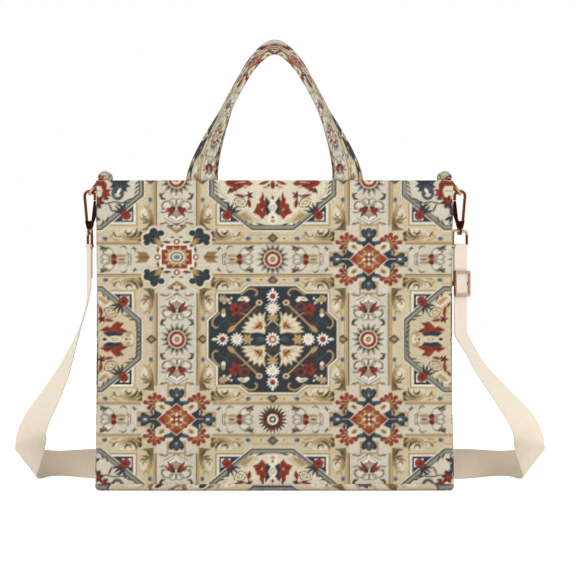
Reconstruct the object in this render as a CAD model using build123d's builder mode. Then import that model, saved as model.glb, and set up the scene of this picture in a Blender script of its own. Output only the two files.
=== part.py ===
"""Printed canvas tote bag with a clip-on shoulder strap.

Lengths are in millimetres. The origin is the middle of the base, on the surface that the bag stands on.
+X is to the right of someone facing the bag, -Y is towards them and +Z is up.
"""

import os
from math import cos, pi, radians, sin, tan

from build123d import *

os.makedirs("parts", exist_ok=True)

# Body of the bag
bag_width = 360.0
bag_height = 311.0
base_depth = 110.0
mouth_depth = 100.0
panel_belly = 5.0
panel_seam_bow = 1.0
gusset_pinch_base = 1.0
gusset_pinch_mouth = 5.0
belly_height_share = 0.4
canvas = 1.6
lining_cloth = 0.6
layer_gap = 0.3
board_thickness = 2.0
board_margin = 2.0
board_corner = 8.0

# Handles
handle_width = 30.0
handle_thickness = 4.0
handle_spacing = 149.0
handle_hem = 32.0
front_handle_rise = 136.5
back_handle_rise = 147.5
handle_meeting_gap = 36.0
handle_arch_shares = [(1.0, 0.0), (0.95, 0.16), (0.72, 0.47), (0.46, 0.755), (0.2, 0.945), (0.0, 1.0)]
handle_turn_share = 0.55
handle_turn_ease_share = 0.55
handle_grip_turn = 80.0
handle_stations = 17

# Tabs and rings
tab_width = 20.0
tab_cloth = 2.0
tab_leg = 28.0
tab_rise = 12.0
tab_clearance = 0.8
ring_wire = 3.2
ring_inside = 21.2
ring_height = 21.0
ring_corner = 3.0
ring_lean = 38.0
ring_bar_offset = 3.2
ring_bar_rise = 4.6

# Snap hooks
hook_wire = 3.2
hook_bend = 5.3
hook_arc_height = 33.5
hook_spine_lean = 5.0
hook_nose = 4.5
hook_link_play = 0.4
block_height = 8.0
block_top = 9.5
block_bottom = 6.0
block_depth = 5.6
slot_floor = 2.0
slot_wall = -0.4
stem_diameter = 3.0
rivet_diameter = 5.0
rivet_height = 1.6
pin_diameter = 1.4
pin_across = -2.6
pin_up = 4.3
gate_thickness = 2.6
gate_foot = 3.4
gate_tip_gap = 0.5
gate_thumb = 1.2
running_gap = 0.05
side_gap = 0.2
spring_leaf = 0.3
spring_width = 2.0
spring_gap = 0.1
spring_bend_share = 0.45
spring_rise = 9.4

# Swivel loops
loop_wire = 3.0
loop_height = 16.0
loop_corner = 4.5
loop_foot_corner = 2.0
loop_side_play = 0.7
collar_diameter = 6.4
collar_height = 4.4
axial_gap = 0.15
right_loop_turn = 28.0
left_loop_turn = 12.0

# Shoulder strap and slider
webbing_width = 32.0
webbing = 1.3
webbing_fit = 0.15
left_tail = 32.0
right_tail = 85.0
slider_drop = 38.0
slider_frame_width = 39.0
slider_frame_height = 27.0
slider_corner = 3.0
slider_bar = 3.2
slider_plate = 2.2
slider_centre_bar = 2.4
slider_lug_height = 3.8
slider_side_gap = 0.3
floor_gap = 0.5
back_run_clearance = 6.0
left_reach = 65.0
right_reach = 75.0
leg_set_back = 30.0
roll_height = 35.0
roll_radius = 12.0
run_settle = 62.0
left_leg_shares = [
    (0.05, 0.16, 84.0),
    (0.12, 0.25, 85.0),
    (0.20, 0.34, 80.0),
    (0.30, 0.43, 72.0),
    (0.40, 0.52, 63.0),
    (0.54, 0.62, 53.0),
    (0.68, 0.71, 43.0),
    (0.83, 0.80, 33.0),
    (0.95, 0.90, 12.0),
]
right_leg_shares = [
    (0.10, 0.13, 73.0),
    (0.22, 0.26, 69.0),
    (0.37, 0.39, 61.0),
    (0.55, 0.52, 52.0),
    (0.74, 0.66, 40.0),
    (0.90, 0.79, 24.0),
    (0.97, 0.90, 4.0),
]
roll_in_shares = (0.30, 0.10, -0.95)
roll_out_shares = (-0.95, 0.30, 0.0)
roll_steps = 8

half_width = bag_width / 2
belly_height = belly_height_share * bag_height
section_heights = [0, belly_height, bag_height]
panel_bows = [panel_seam_bow, panel_belly, panel_seam_bow]


def half_depth(height):
    """Half the depth of the body at a height."""
    return (base_depth + (mouth_depth - base_depth) * height / bag_height) / 2


def pinch(height):
    """How far the middle of a gusset is drawn in at a height."""
    return gusset_pinch_base + (gusset_pinch_mouth - gusset_pinch_base) * height / bag_height


def bow(height):
    """How far the middle of the front bulges at a height."""
    rise = height / belly_height if height < belly_height else (bag_height - height) / (bag_height - belly_height)
    return panel_seam_bow + (panel_belly - panel_seam_bow) * rise


# Body panels
with BuildPart() as front_panel:
    for height, bulge in zip(section_heights, panel_bows):
        edge = -half_depth(height)
        with BuildSketch(Plane.XY.offset(height)):
            with BuildLine():
                outer = ThreePointArc((-half_width, edge), (0, edge - bulge), (half_width, edge))
                inner = ThreePointArc(
                    (-half_width, edge + canvas), (0, edge + canvas - bulge), (half_width, edge + canvas)
                )
                Line(outer @ 0, inner @ 0)
                Line(outer @ 1, inner @ 1)
            make_face()
    loft()
front_panel.part.label = "front_panel"
export_step(front_panel.part, "parts/front_panel.step")

with BuildPart() as back_panel:
    mirror(front_panel.part, about=Plane.XZ)
back_panel.part.label = "back_panel"
export_step(back_panel.part, "parts/back_panel.step")

with BuildPart() as right_gusset:
    for height in section_heights:
        reach = half_depth(height) - canvas
        dip = half_width - pinch(height)
        with BuildSketch(Plane.XY.offset(height)):
            with BuildLine():
                outer = ThreePointArc((half_width, -reach), (dip, 0), (half_width, reach))
                inner = ThreePointArc(
                    (half_width - canvas, -reach), (dip - canvas, 0), (half_width - canvas, reach)
                )
                Line(outer @ 0, inner @ 0)
                Line(outer @ 1, inner @ 1)
            make_face()
    loft()
right_gusset.part.label = "right_gusset"
export_step(right_gusset.part, "parts/right_gusset.step")

with BuildPart() as left_gusset:
    mirror(right_gusset.part, about=Plane.YZ)
left_gusset.part.label = "left_gusset"
export_step(left_gusset.part, "parts/left_gusset.step")

base_inset = canvas + layer_gap
with BuildPart() as base_panel:
    with BuildSketch():
        Rectangle(
            bag_width - 2 * (base_inset + gusset_pinch_base), base_depth - 2 * base_inset
        )
    extrude(amount=canvas)
base_panel.part.label = "base_panel"
export_step(base_panel.part, "parts/base_panel.step")

board_inset = base_inset + board_margin
with BuildPart() as base_board:
    with BuildSketch(Plane.XY.offset(canvas)):
        RectangleRounded(bag_width - 2 * board_inset, base_depth - 2 * board_inset, board_corner)
    extrude(amount=board_thickness)
base_board.part.label = "base_board"
export_step(base_board.part, "parts/base_board.step")

lining_floor = canvas + board_thickness
lining_inset = canvas + layer_gap
with BuildPart() as lining:
    for inset, floor, mode in (
        (lining_inset, lining_floor, Mode.ADD),
        (lining_inset + lining_cloth, lining_floor + lining_cloth, Mode.SUBTRACT),
    ):
        for height in (floor, belly_height, bag_height):
            side = half_width - inset
            edge = half_depth(height) - inset
            front = half_depth(height) + bow(height) - inset
            dip = half_width - pinch(height) - inset
            with BuildSketch(Plane.XY.offset(height)):
                with BuildLine():
                    ThreePointArc((-side, -edge), (0, -front), (side, -edge))
                    ThreePointArc((side, -edge), (dip, 0), (side, edge))
                    ThreePointArc((side, edge), (0, front), (-side, edge))
                    ThreePointArc((-side, edge), (-dip, 0), (-side, -edge))
                make_face()
        loft(mode=mode)
lining.part.label = "lining"
export_step(lining.part, "parts/lining.step")


# Handles, each a flat folded strip that turns on edge towards the grip
def handle_seat(height):
    """Distance from the bag's middle to the middle of a handle that lies on the lining at a height."""
    edge_share = (handle_spacing + handle_width) / bag_width
    lining_face = half_depth(height) + bow(height) * (1 - edge_share * edge_share) - lining_inset - lining_cloth
    return lining_face - layer_gap - handle_thickness / 2


def handle_planes(front, rise):
    """Planes of the strip's cross-sections from the left end to the right end.

    front is 1 for the handle on the front panel and -1 for the one on the back.
    """
    foot_y = -front * handle_seat(bag_height)
    hem_y = -front * handle_seat(bag_height - handle_hem)
    top_y = -front * handle_meeting_gap / 2
    lean = Vector(0, top_y - foot_y, rise).normalized()
    face = lean.cross(Vector(1, 0, 0)) * -front
    foot = Vector(0, foot_y, bag_height)
    span = handle_spacing / 2
    points = [(-span * across, rise * up) for across, up in handle_arch_shares]
    with BuildLine() as arch:
        half = Spline(*points, tangents=((0, 1), (1, 0)))
    hem = Vector(0, hem_y, bag_height - handle_hem)
    planes = [Plane(origin=hem - Vector(span, 0, 0), x_dir=(1, 0, 0), z_dir=(0, 0, 1))]
    steps = [number / (handle_stations - 1) for number in range(handle_stations)]
    up_and_down = [(1, step) for step in steps] + [(-1, step) for step in reversed(steps[:-1])]
    for half_sign, step in up_and_down:
        at = half @ step
        along = half % step
        across = Vector(1, 0, 0) * at.X * half_sign
        tangent = Vector(1, 0, 0) * along.X + lean * along.Y * half_sign
        outward = Vector(-1, 0, 0) * along.Y * half_sign + lean * along.X
        share = min(1, at.Y / rise / handle_turn_share)
        turn = radians(handle_grip_turn) * max(0, share) ** handle_turn_ease_share
        normal = face * cos(turn) + outward * sin(turn)
        place = foot + across + lean * at.Y
        planes.append(Plane(origin=place, x_dir=tangent.cross(normal) * -front, z_dir=tangent))
    planes.append(Plane(origin=hem + Vector(span, 0, 0), x_dir=(-1, 0, 0), z_dir=(0, 0, -1)))
    return planes


with BuildPart() as front_handle:
    for place in handle_planes(1, front_handle_rise):
        with BuildSketch(place):
            Rectangle(handle_width, handle_thickness)
    loft(ruled=True)
front_handle.part.label = "front_handle"
export_step(front_handle.part, "parts/front_handle.step")

with BuildPart() as back_handle:
    for place in handle_planes(-1, back_handle_rise):
        with BuildSketch(place):
            Rectangle(handle_width, handle_thickness)
    loft(ruled=True)
back_handle.part.label = "back_handle"
export_step(back_handle.part, "parts/back_handle.step")

# Places of the hardware, on the right side
gusset_face = half_width - gusset_pinch_mouth
tab_outside = gusset_face + tab_clearance
tab_inside = gusset_face - canvas - layer_gap - lining_cloth - layer_gap
tab_middle = (tab_outside + tab_inside) / 2
ring_bar_x = tab_middle + ring_bar_offset
ring_bar_z = bag_height + ring_bar_rise
stem_x = ring_bar_x + ring_height * sin(radians(ring_lean))
bow_z = ring_bar_z - ring_height * cos(radians(ring_lean))
hook_z = bow_z + ring_wire / 2 + hook_link_play + hook_wire / 2 - hook_bend - hook_arc_height
collar_z = hook_z - axial_gap - collar_height / 2
bar_z = collar_z - loop_height
loop_half = (webbing_width + loop_wire) / 2 + loop_side_play
hook_lean = radians(hook_spine_lean)


def upright(side, across, height):
    """Vertical plane across the bag: x points away from the bag on that side, y points up."""
    return Plane(origin=(side * across, 0, height), x_dir=(side, 0, 0), z_dir=(0, -side, 0))


def bar_direction(side):
    """Direction of a strap loop's bars, from the front end to the back end."""
    turn = radians(right_loop_turn if side > 0 else left_loop_turn)
    return Vector(side * sin(turn), cos(turn), 0)


def strap_normal(side):
    """Direction in which the outer face of the strap's end looks."""
    turn = radians(right_loop_turn if side > 0 else left_loop_turn)
    return Vector(side * cos(turn), -sin(turn), 0)


for side, name in ((1, "right"), (-1, "left")):
    # Cloth tab, folded over the top of the gusset round the ring's bar
    with BuildPart() as tab:
        with BuildSketch(upright(side, 0, bag_height)):
            with BuildLine():
                Line((tab_inside - tab_cloth, -tab_leg), (tab_inside - tab_cloth, 0))
                ThreePointArc(
                    (tab_inside - tab_cloth, 0), (tab_middle, tab_rise), (tab_outside + tab_cloth, 0)
                )
                Line((tab_outside + tab_cloth, 0), (tab_outside + tab_cloth, -tab_leg))
                Line((tab_outside + tab_cloth, -tab_leg), (tab_outside, -tab_leg))
                Line((tab_outside, -tab_leg), (tab_outside, 0))
                ThreePointArc((tab_outside, 0), (tab_middle, tab_rise - tab_cloth), (tab_inside, 0))
                Line((tab_inside, 0), (tab_inside, -tab_leg))
                Line((tab_inside, -tab_leg), (tab_inside - tab_cloth, -tab_leg))
            make_face()
        extrude(amount=tab_width / 2, both=True)
    tab.part.label = name + "_tab"
    export_step(tab.part, "parts/" + name + "_tab.step")

    # D-ring, its bar in the tab
    ring_half = (ring_inside + ring_wire) / 2
    leg_end = ring_height - ring_half
    down = Vector(side * sin(radians(ring_lean)), 0, -cos(radians(ring_lean)))
    ring_plane = Plane(
        origin=(side * ring_bar_x, 0, ring_bar_z), x_dir=(0, 1, 0), z_dir=Vector(0, 1, 0).cross(down)
    )
    corner_mid = ring_corner * sin(pi / 4)
    bow_mid = ring_half * sin(pi / 4)
    with BuildPart() as ring:
        with BuildLine(ring_plane) as ring_path:
            Line((0, 0), (ring_half - ring_corner, 0))
            ThreePointArc(
                (ring_half - ring_corner, 0),
                (ring_half - ring_corner + corner_mid, ring_corner - corner_mid),
                (ring_half, ring_corner),
            )
            Line((ring_half, ring_corner), (ring_half, leg_end))
            ThreePointArc((ring_half, leg_end), (bow_mid, leg_end + bow_mid), (0, ring_height))
        with BuildSketch(Plane(origin=ring_plane.origin, z_dir=ring_plane.x_dir)):
            Circle(ring_wire / 2)
        sweep(path=ring_path.wire())
        mirror(about=Plane.XZ)
    ring.part.label = name + "_ring"
    export_step(ring.part, "parts/" + name + "_ring.step")

    # Snap hook: bent rod, block, swivel stem and its riveted head
    hook_plane = upright(side, stem_x, hook_z)
    with BuildPart() as hook:
        shoulder = (hook_bend * cos(hook_lean), hook_arc_height - hook_bend * sin(hook_lean))
        foot = (shoulder[0] - (shoulder[1] - block_height / 2) * tan(hook_lean), block_height / 2)
        with BuildLine(hook_plane) as rod:
            Line(foot, shoulder)
            ThreePointArc(shoulder, (0, hook_arc_height + hook_bend), (-hook_bend, hook_arc_height))
            Line((-hook_bend, hook_arc_height), (-hook_bend, hook_arc_height - hook_nose))
        with BuildSketch(Plane(origin=rod.wire() @ 0, z_dir=rod.wire() % 0)):
            Circle(hook_wire / 2)
        sweep(path=rod.wire())
        with BuildSketch(hook_plane):
            with BuildLine():
                Polyline(
                    (-block_bottom / 2, 0),
                    (block_bottom / 2, 0),
                    (block_top / 2, block_height),
                    (-block_top / 2, block_height),
                    close=True,
                )
            make_face()
        extrude(amount=block_depth / 2, both=True)
        with BuildSketch(hook_plane):
            with BuildLine():
                Polyline(
                    (-block_top, slot_floor),
                    (slot_wall, slot_floor),
                    (slot_wall, block_height),
                    (-block_top, block_height),
                    close=True,
                )
            make_face()
        extrude(amount=gate_thickness / 2 + side_gap, both=True, mode=Mode.SUBTRACT)
        with BuildSketch(hook_plane):
            with Locations((pin_across, pin_up)):
                Circle(pin_diameter / 2)
        extrude(amount=block_depth, both=True, mode=Mode.SUBTRACT)
        stem_length = collar_height + 2 * axial_gap
        with BuildSketch(Plane.XY.offset(hook_z)):
            with Locations((side * stem_x, 0)):
                Circle(stem_diameter / 2)
        extrude(amount=-stem_length)
        with BuildSketch(Plane.XY.offset(hook_z - stem_length)):
            with Locations((side * stem_x, 0)):
                Circle(rivet_diameter / 2)
        extrude(amount=-rivet_height)
    hook.part.label = name + "_hook"
    export_step(hook.part, "parts/" + name + "_hook.step")

    with BuildPart() as gate_pin:
        with BuildSketch(hook_plane):
            with Locations((pin_across, pin_up)):
                Circle(pin_diameter / 2)
        extrude(amount=block_depth / 2, both=True)
    gate_pin.part.label = name + "_gate_pin"
    export_step(gate_pin.part, "parts/" + name + "_gate_pin.step")

    # Gate: lever from the pin to the tip of the hook
    tip_up = hook_arc_height - hook_nose - gate_tip_gap
    with BuildPart() as gate:
        with BuildSketch(hook_plane):
            with Locations((pin_across, pin_up)):
                Circle(gate_foot / 2)
            with BuildLine():
                Polyline(
                    (pin_across - gate_thickness / 2, pin_up),
                    (pin_across + gate_thickness / 2, pin_up),
                    (gate_thickness / 2 - hook_bend, tip_up),
                    (-hook_bend - gate_thickness / 2, tip_up),
                    (-hook_bend - gate_thickness / 2 - gate_thumb, (pin_up + tip_up) / 2),
                    close=True,
                )
            make_face()
            with Locations((pin_across, pin_up)):
                Circle(pin_diameter / 2 + running_gap, mode=Mode.SUBTRACT)
        extrude(amount=gate_thickness / 2, both=True)
    gate.part.label = name + "_gate"
    export_step(gate.part, "parts/" + name + "_gate.step")

    # Leaf spring between the slot's wall and the gate
    leaf_x = slot_wall - spring_gap
    leaf_bend = slot_floor + (spring_rise - slot_floor) * spring_bend_share
    gate_lean = (hook_bend + pin_across) / (tip_up - pin_up)
    leaf_tip = pin_across - gate_lean * (spring_rise - pin_up) + gate_thickness / 2 + spring_leaf + spring_gap
    with BuildPart() as gate_spring:
        with BuildSketch(hook_plane):
            with BuildLine():
                Polyline(
                    (leaf_x, slot_floor + spring_gap),
                    (leaf_x, leaf_bend),
                    (leaf_tip + spring_leaf, spring_rise),
                    (leaf_tip, spring_rise),
                    (leaf_x - spring_leaf, leaf_bend),
                    (leaf_x - spring_leaf, slot_floor + spring_gap),
                    close=True,
                )
            make_face()
        extrude(amount=spring_width / 2, both=True)
    gate_spring.part.label = name + "_gate_spring"
    export_step(gate_spring.part, "parts/" + name + "_gate_spring.step")

    # Swivel loop that carries the strap
    bar = bar_direction(side)
    loop_plane = Plane(
        origin=(side * stem_x, 0, collar_z), x_dir=bar, z_dir=bar.cross(Vector(0, 0, 1))
    )
    with BuildPart() as strap_loop:
        with BuildLine(loop_plane) as loop_path:
            FilletPolyline(
                (-loop_half, 0),
                (loop_half, 0),
                (loop_half, -loop_height),
                (-loop_half, -loop_height),
                radius=(loop_corner, loop_corner, loop_foot_corner, loop_foot_corner),
                close=True,
            )
        with BuildSketch(Plane(origin=loop_path.wire() @ 0, z_dir=loop_path.wire() % 0)):
            Circle(loop_wire / 2)
        sweep(path=loop_path.wire())
        with BuildSketch(Plane.XY.offset(collar_z)):
            with Locations((side * stem_x, 0)):
                Circle(collar_diameter / 2)
        extrude(amount=collar_height / 2, both=True)
        with BuildSketch(Plane.XY.offset(collar_z)):
            with Locations((side * stem_x, 0)):
                Circle(stem_diameter / 2 + running_gap)
        extrude(amount=collar_height, both=True, mode=Mode.SUBTRACT)
    strap_loop.part.label = name + "_strap_loop"
    export_step(strap_loop.part, "parts/" + name + "_strap_loop.step")

# Slider: frame in front of the strap, centre bar behind it
layer_offset = (webbing + webbing_fit) / 2
front_face = layer_offset + webbing / 2 + webbing_fit
bar_wrap = slider_centre_bar / 2 + webbing_fit + webbing
bar_depth = layer_offset - webbing / 2 - webbing_fit - bar_wrap
slider_place = Vector(stem_x, 0, bar_z - slider_drop)
slider_plane = Plane(origin=slider_place, x_dir=bar_direction(1), z_dir=strap_normal(1))
slider_inside = webbing_width + 2 * slider_side_gap
with BuildPart() as strap_slider:
    with BuildSketch(slider_plane.offset(front_face)):
        RectangleRounded(slider_frame_width, slider_frame_height, slider_corner)
        Rectangle(slider_inside, slider_frame_height - 2 * slider_bar, mode=Mode.SUBTRACT)
    extrude(amount=slider_plate)
    lug = (slider_frame_width - slider_inside) / 2
    with BuildSketch(slider_plane.offset(bar_depth - slider_centre_bar / 2)):
        with Locations(((slider_inside + lug) / 2, 0), (-(slider_inside + lug) / 2, 0)):
            Rectangle(lug, slider_lug_height)
    extrude(amount=front_face - bar_depth + slider_centre_bar / 2 + slider_plate)
    with BuildSketch(
        Plane(origin=slider_place + strap_normal(1) * bar_depth, x_dir=(0, 0, 1), z_dir=bar_direction(1))
    ):
        Circle(slider_centre_bar / 2)
    extrude(amount=slider_inside / 2 + lug / 2, both=True)
strap_slider.part.label = "strap_slider"
export_step(strap_slider.part, "parts/strap_slider.step")


# Shoulder strap: from the left loop down, behind the bag on its edge, and up to the right loop
def leg_stations(side):
    """Places, directions and width directions of one side's leg and of its turn on the floor."""
    tail, reach, shares = (
        (right_tail, right_reach, right_leg_shares) if side > 0 else (left_tail, left_reach, left_leg_shares)
    )
    start = Vector(side * stem_x, 0, bar_z - tail) + strap_normal(side) * layer_offset
    drop = start.Z - roll_height
    entry = Vector(side * roll_in_shares[0], roll_in_shares[1], roll_in_shares[2]).normalized()
    leave = Vector(side * roll_out_shares[0], roll_out_shares[1], roll_out_shares[2]).normalized()
    places = [start]
    angles = [0]
    for out, fall, angle in shares:
        places.append(start + Vector(side * reach * out, leg_set_back * fall, -drop * fall))
        angles.append(radians(angle))
    turn_place = start + Vector(side * reach, leg_set_back, -drop)
    stations = [(start, Vector(0, 0, -1), bar_direction(side))]
    places.append(turn_place)
    for number in range(1, len(places) - 1):
        tangent = (places[number + 1] - places[number - 1]).normalized()
        frontal = tangent.cross(Vector(0, 1, 0)).normalized() * side
        deep = frontal.cross(tangent) * side
        width = frontal * cos(angles[number]) + deep * sin(angles[number])
        stations.append((places[number], tangent, width))
    axis = (entry + leave).normalized()
    slant = entry.dot(axis)
    swing = (entry - axis * slant).normalized()
    steep = entry.dot(swing)
    inward = entry.cross(leave).normalized()
    inward = inward if inward.Y > 0 else inward * -1
    for number in range(roll_steps + 1):
        angle = pi * number / roll_steps
        place = (
            turn_place
            + inward * roll_radius * (1 - cos(angle))
            + swing * roll_radius * sin(angle)
            + axis * roll_radius * angle * slant / steep
        )
        tangent = (swing * cos(angle) + inward * sin(angle)) * steep + axis * slant
        inner = inward * cos(angle) - swing * sin(angle)
        stations.append((place, tangent, tangent.cross(inner)))
    return stations


left_leg = leg_stations(-1)
right_leg = leg_stations(1)
run_y = half_depth(0) + panel_belly + back_run_clearance
run_z = webbing_width / 2 + floor_gap
run_start = Vector(left_leg[-1][0].X + run_settle, run_y, run_z)
run_end = Vector(right_leg[-1][0].X - run_settle, run_y, run_z)
along_run = Vector(1, 0, 0)
on_edge = Vector(0, 0, 1)
strap_stations = left_leg + [(run_start, along_run, on_edge), (run_end, along_run, on_edge)]
strap_stations += [(place, tangent * -1, width) for place, tangent, width in reversed(right_leg)]
lined_up = []
for place, tangent, width in strap_stations:
    if lined_up and width.dot(lined_up[-1][2]) < 0:
        width = width * -1
    lined_up.append((place, tangent, width))

# The webbing is lofted in runs, so that none turns far from its first section
left_end = len(left_leg) - 1
right_start = left_end + 3
half_roll = roll_steps // 2
run_ends = [0, left_end - roll_steps, left_end - half_roll, left_end]
run_ends += [right_start, right_start + half_roll, right_start + roll_steps, len(lined_up) - 1]

with BuildPart() as shoulder_strap:
    for first, last in zip(run_ends, run_ends[1:]):
        for place, tangent, width in lined_up[first : last + 1]:
            with BuildSketch(Plane(origin=place, x_dir=width, z_dir=tangent)):
                Rectangle(webbing_width, webbing)
        loft(ruled=True)
    for side, tail, return_end in ((-1, left_tail, left_tail), (1, right_tail, slider_drop)):
        fold_plane = Plane(
            origin=(side * stem_x, 0, bar_z), x_dir=strap_normal(side), z_dir=bar_direction(side) * side
        )
        fold_inner = loop_wire / 2 + webbing_fit
        with BuildSketch(fold_plane):
            Circle(fold_inner + webbing)
            with Locations((layer_offset, tail / 2)):
                Rectangle(webbing, tail)
            with Locations((-layer_offset, return_end / 2)):
                Rectangle(webbing, return_end)
            Circle(fold_inner, mode=Mode.SUBTRACT)
            if side > 0:
                with Locations((bar_depth, return_end)):
                    Circle(bar_wrap)
                    Circle(slider_centre_bar / 2 + webbing_fit, mode=Mode.SUBTRACT)
        extrude(amount=webbing_width / 2, both=True)
shoulder_strap.part.label = "shoulder_strap"
export_step(shoulder_strap.part, "parts/shoulder_strap.step")
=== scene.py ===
"""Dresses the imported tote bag: printed canvas body, soft handles, webbing strap and rose metal fittings.

Lengths are in millimetres, and meshes are written in metres. The origin is on the floor under the middle of the
base, +X is to the right of someone who faces the bag, -Y is towards them and +Z is up.
"""

import logging
from dataclasses import dataclass, field
from enum import Enum
from math import atan2, cos, degrees, hypot, pi, radians, sin
from typing import Callable, Sequence, Union

import bpy
import numpy as np
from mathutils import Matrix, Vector


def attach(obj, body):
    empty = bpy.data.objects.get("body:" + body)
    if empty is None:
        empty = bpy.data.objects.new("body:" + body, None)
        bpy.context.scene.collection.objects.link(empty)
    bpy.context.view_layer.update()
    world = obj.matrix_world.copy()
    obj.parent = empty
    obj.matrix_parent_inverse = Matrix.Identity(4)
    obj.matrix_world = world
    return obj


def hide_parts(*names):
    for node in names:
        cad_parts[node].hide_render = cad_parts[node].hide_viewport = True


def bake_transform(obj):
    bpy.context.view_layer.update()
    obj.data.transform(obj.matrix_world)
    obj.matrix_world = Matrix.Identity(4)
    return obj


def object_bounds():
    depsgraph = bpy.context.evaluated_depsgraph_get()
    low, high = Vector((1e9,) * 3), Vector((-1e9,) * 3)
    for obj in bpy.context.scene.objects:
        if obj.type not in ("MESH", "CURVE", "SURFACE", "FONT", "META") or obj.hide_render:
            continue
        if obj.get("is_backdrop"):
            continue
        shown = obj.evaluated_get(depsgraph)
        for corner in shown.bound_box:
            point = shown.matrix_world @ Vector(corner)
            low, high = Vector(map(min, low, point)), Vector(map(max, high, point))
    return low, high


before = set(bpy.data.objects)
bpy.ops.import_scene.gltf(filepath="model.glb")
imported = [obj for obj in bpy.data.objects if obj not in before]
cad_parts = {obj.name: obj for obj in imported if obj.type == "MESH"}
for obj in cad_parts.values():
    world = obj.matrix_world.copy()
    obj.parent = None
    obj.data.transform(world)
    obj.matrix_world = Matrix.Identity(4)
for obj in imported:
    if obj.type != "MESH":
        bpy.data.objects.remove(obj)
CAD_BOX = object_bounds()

LOG = logging.getLogger("tote_bag")
METRES = 0.001
CLOTH = "_cloth"
FULL_WHITE = (1.0, 1.0, 1.0, 1.0)
Colour = Place = tuple[float, float, float]
Array = np.ndarray
Material, Piece = bpy.types.Material, bpy.types.Object


class Dye(Enum):
    """Colours of the printed cloth, as they look on a screen, from 0 to 255."""

    GROUND = (203, 195, 175)
    BAND = (199, 184, 152)
    CREAM = (214, 204, 180)
    WHITE = (228, 221, 205)
    TAN = (174, 146, 102)
    GOLD = (142, 112, 68)
    MOSS = (112, 95, 65)
    OLIVE = (76, 64, 43)
    GREY = (64, 64, 60)
    PALE_GREY = (142, 138, 124)
    NAVY = (47, 53, 58)
    SLATE = (70, 81, 90)
    SKY = (108, 120, 131)
    RED = (136, 53, 39)
    DARK_RED = (94, 33, 29)
    RUST = (153, 80, 46)


def linear(colour: Sequence[float]) -> Array:
    """Turns screen values from 0 to 255 into linear light.

    Args:
        colour: red, green and blue.

    Returns:
        The linear red, green and blue, from 0 to 1.
    """
    share = np.asarray(colour, float) / 255.0
    return np.where(share <= 0.04045, share / 12.92, ((share + 0.055) / 1.055) ** 2.4)


class Shape:
    """A flat shape of the print, in millimetres from the middle of its motif."""

    def distance(self, a: Array, b: Array) -> Array:
        """Measures places from the shape's edge.

        Args:
            a, b: places across and up.

        Returns:
            Distances outside the edge, below zero inside.
        """
        raise NotImplementedError


@dataclass(frozen=True)
class Placed(Shape):
    """A shape with a middle of its own."""

    x: float
    y: float

    def turned(self, a: Array, b: Array, turn: float) -> tuple[Array, Array]:
        """Places along and across a direction in degrees, from the middle."""
        c, s = cos(radians(turn)), sin(radians(turn))
        return (a - self.x) * c + (b - self.y) * s, (b - self.y) * c - (a - self.x) * s


@dataclass(frozen=True)
class Disc(Placed):
    """Round or oval spot, by its middle and half its sizes."""

    across: float
    up: float = 0.0
    turn: float = 0.0

    def distance(self, a: Array, b: Array) -> Array:
        """See `Shape.distance`."""
        along, over = self.turned(a, b, self.turn)
        up = self.up or self.across
        return (np.hypot(along / self.across, over / up) - 1) * min(self.across, up)


@dataclass(frozen=True)
class Leaf(Placed):
    """Leaf with two points, by its middle, length and width."""

    length: float
    width: float
    turn: float = 0.0

    def distance(self, a: Array, b: Array) -> Array:
        """See `Shape.distance`."""
        along, over = self.turned(a, b, self.turn)
        share = 2 * np.abs(along) / self.length
        half = self.width / 2
        return np.maximum(np.abs(over) - half * (1 - share * share), (share - 1) * half)


@dataclass(frozen=True)
class Star(Placed):
    """Flower or star with equal points."""

    points: int
    outer: float
    inner: float
    turn: float = 0.0
    squash: float = 1.0

    def distance(self, a: Array, b: Array) -> Array:
        """See `Shape.distance`."""
        along, over = self.turned(a, b, self.turn)
        over = over / self.squash
        angle = np.arctan2(over, along) * self.points / (2 * pi)
        ridge = 1 - 2 * np.abs(angle - np.round(angle))
        return (np.hypot(along, over) - self.inner - (self.outer - self.inner) * ridge) * self.squash


@dataclass(frozen=True)
class Box(Placed):
    """Upright rectangle, by its middle and half its sides."""

    across: float
    up: float

    def distance(self, a: Array, b: Array) -> Array:
        """See `Shape.distance`."""
        return np.maximum(np.abs(a - self.x) - self.across, np.abs(b - self.y) - self.up)


@dataclass(frozen=True)
class Stroke(Shape):
    """Line of even width through places."""

    width: float
    places: tuple

    def distance(self, a: Array, b: Array) -> Array:
        """See `Shape.distance`."""
        near = np.full(a.shape, np.inf)
        for (x0, y0), (x1, y1) in zip(self.places, self.places[1:]):
            dx, dy = x1 - x0, y1 - y0
            share = np.clip(((a - x0) * dx + (b - y0) * dy) / (dx * dx + dy * dy), 0, 1)
            near = np.minimum(near, np.hypot(a - x0 - share * dx, b - y0 - share * dy))
        return near - self.width / 2


@dataclass(frozen=True)
class Patch(Shape):
    """Straight-sided patch, by its corners."""

    corners: tuple

    def distance(self, a: Array, b: Array) -> Array:
        """See `Shape.distance`."""
        ring = self.corners + self.corners[:1]
        inside = np.zeros(a.shape, bool)
        for (x0, y0), (x1, y1) in zip(ring, ring[1:]):
            if y1 != y0:
                inside ^= ((y0 > b) != (y1 > b)) & (a < x0 + (b - y0) * (x1 - x0) / (y1 - y0))
        near = Stroke(0.0, ring).distance(a, b)
        return np.where(inside, -near, near)


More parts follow.
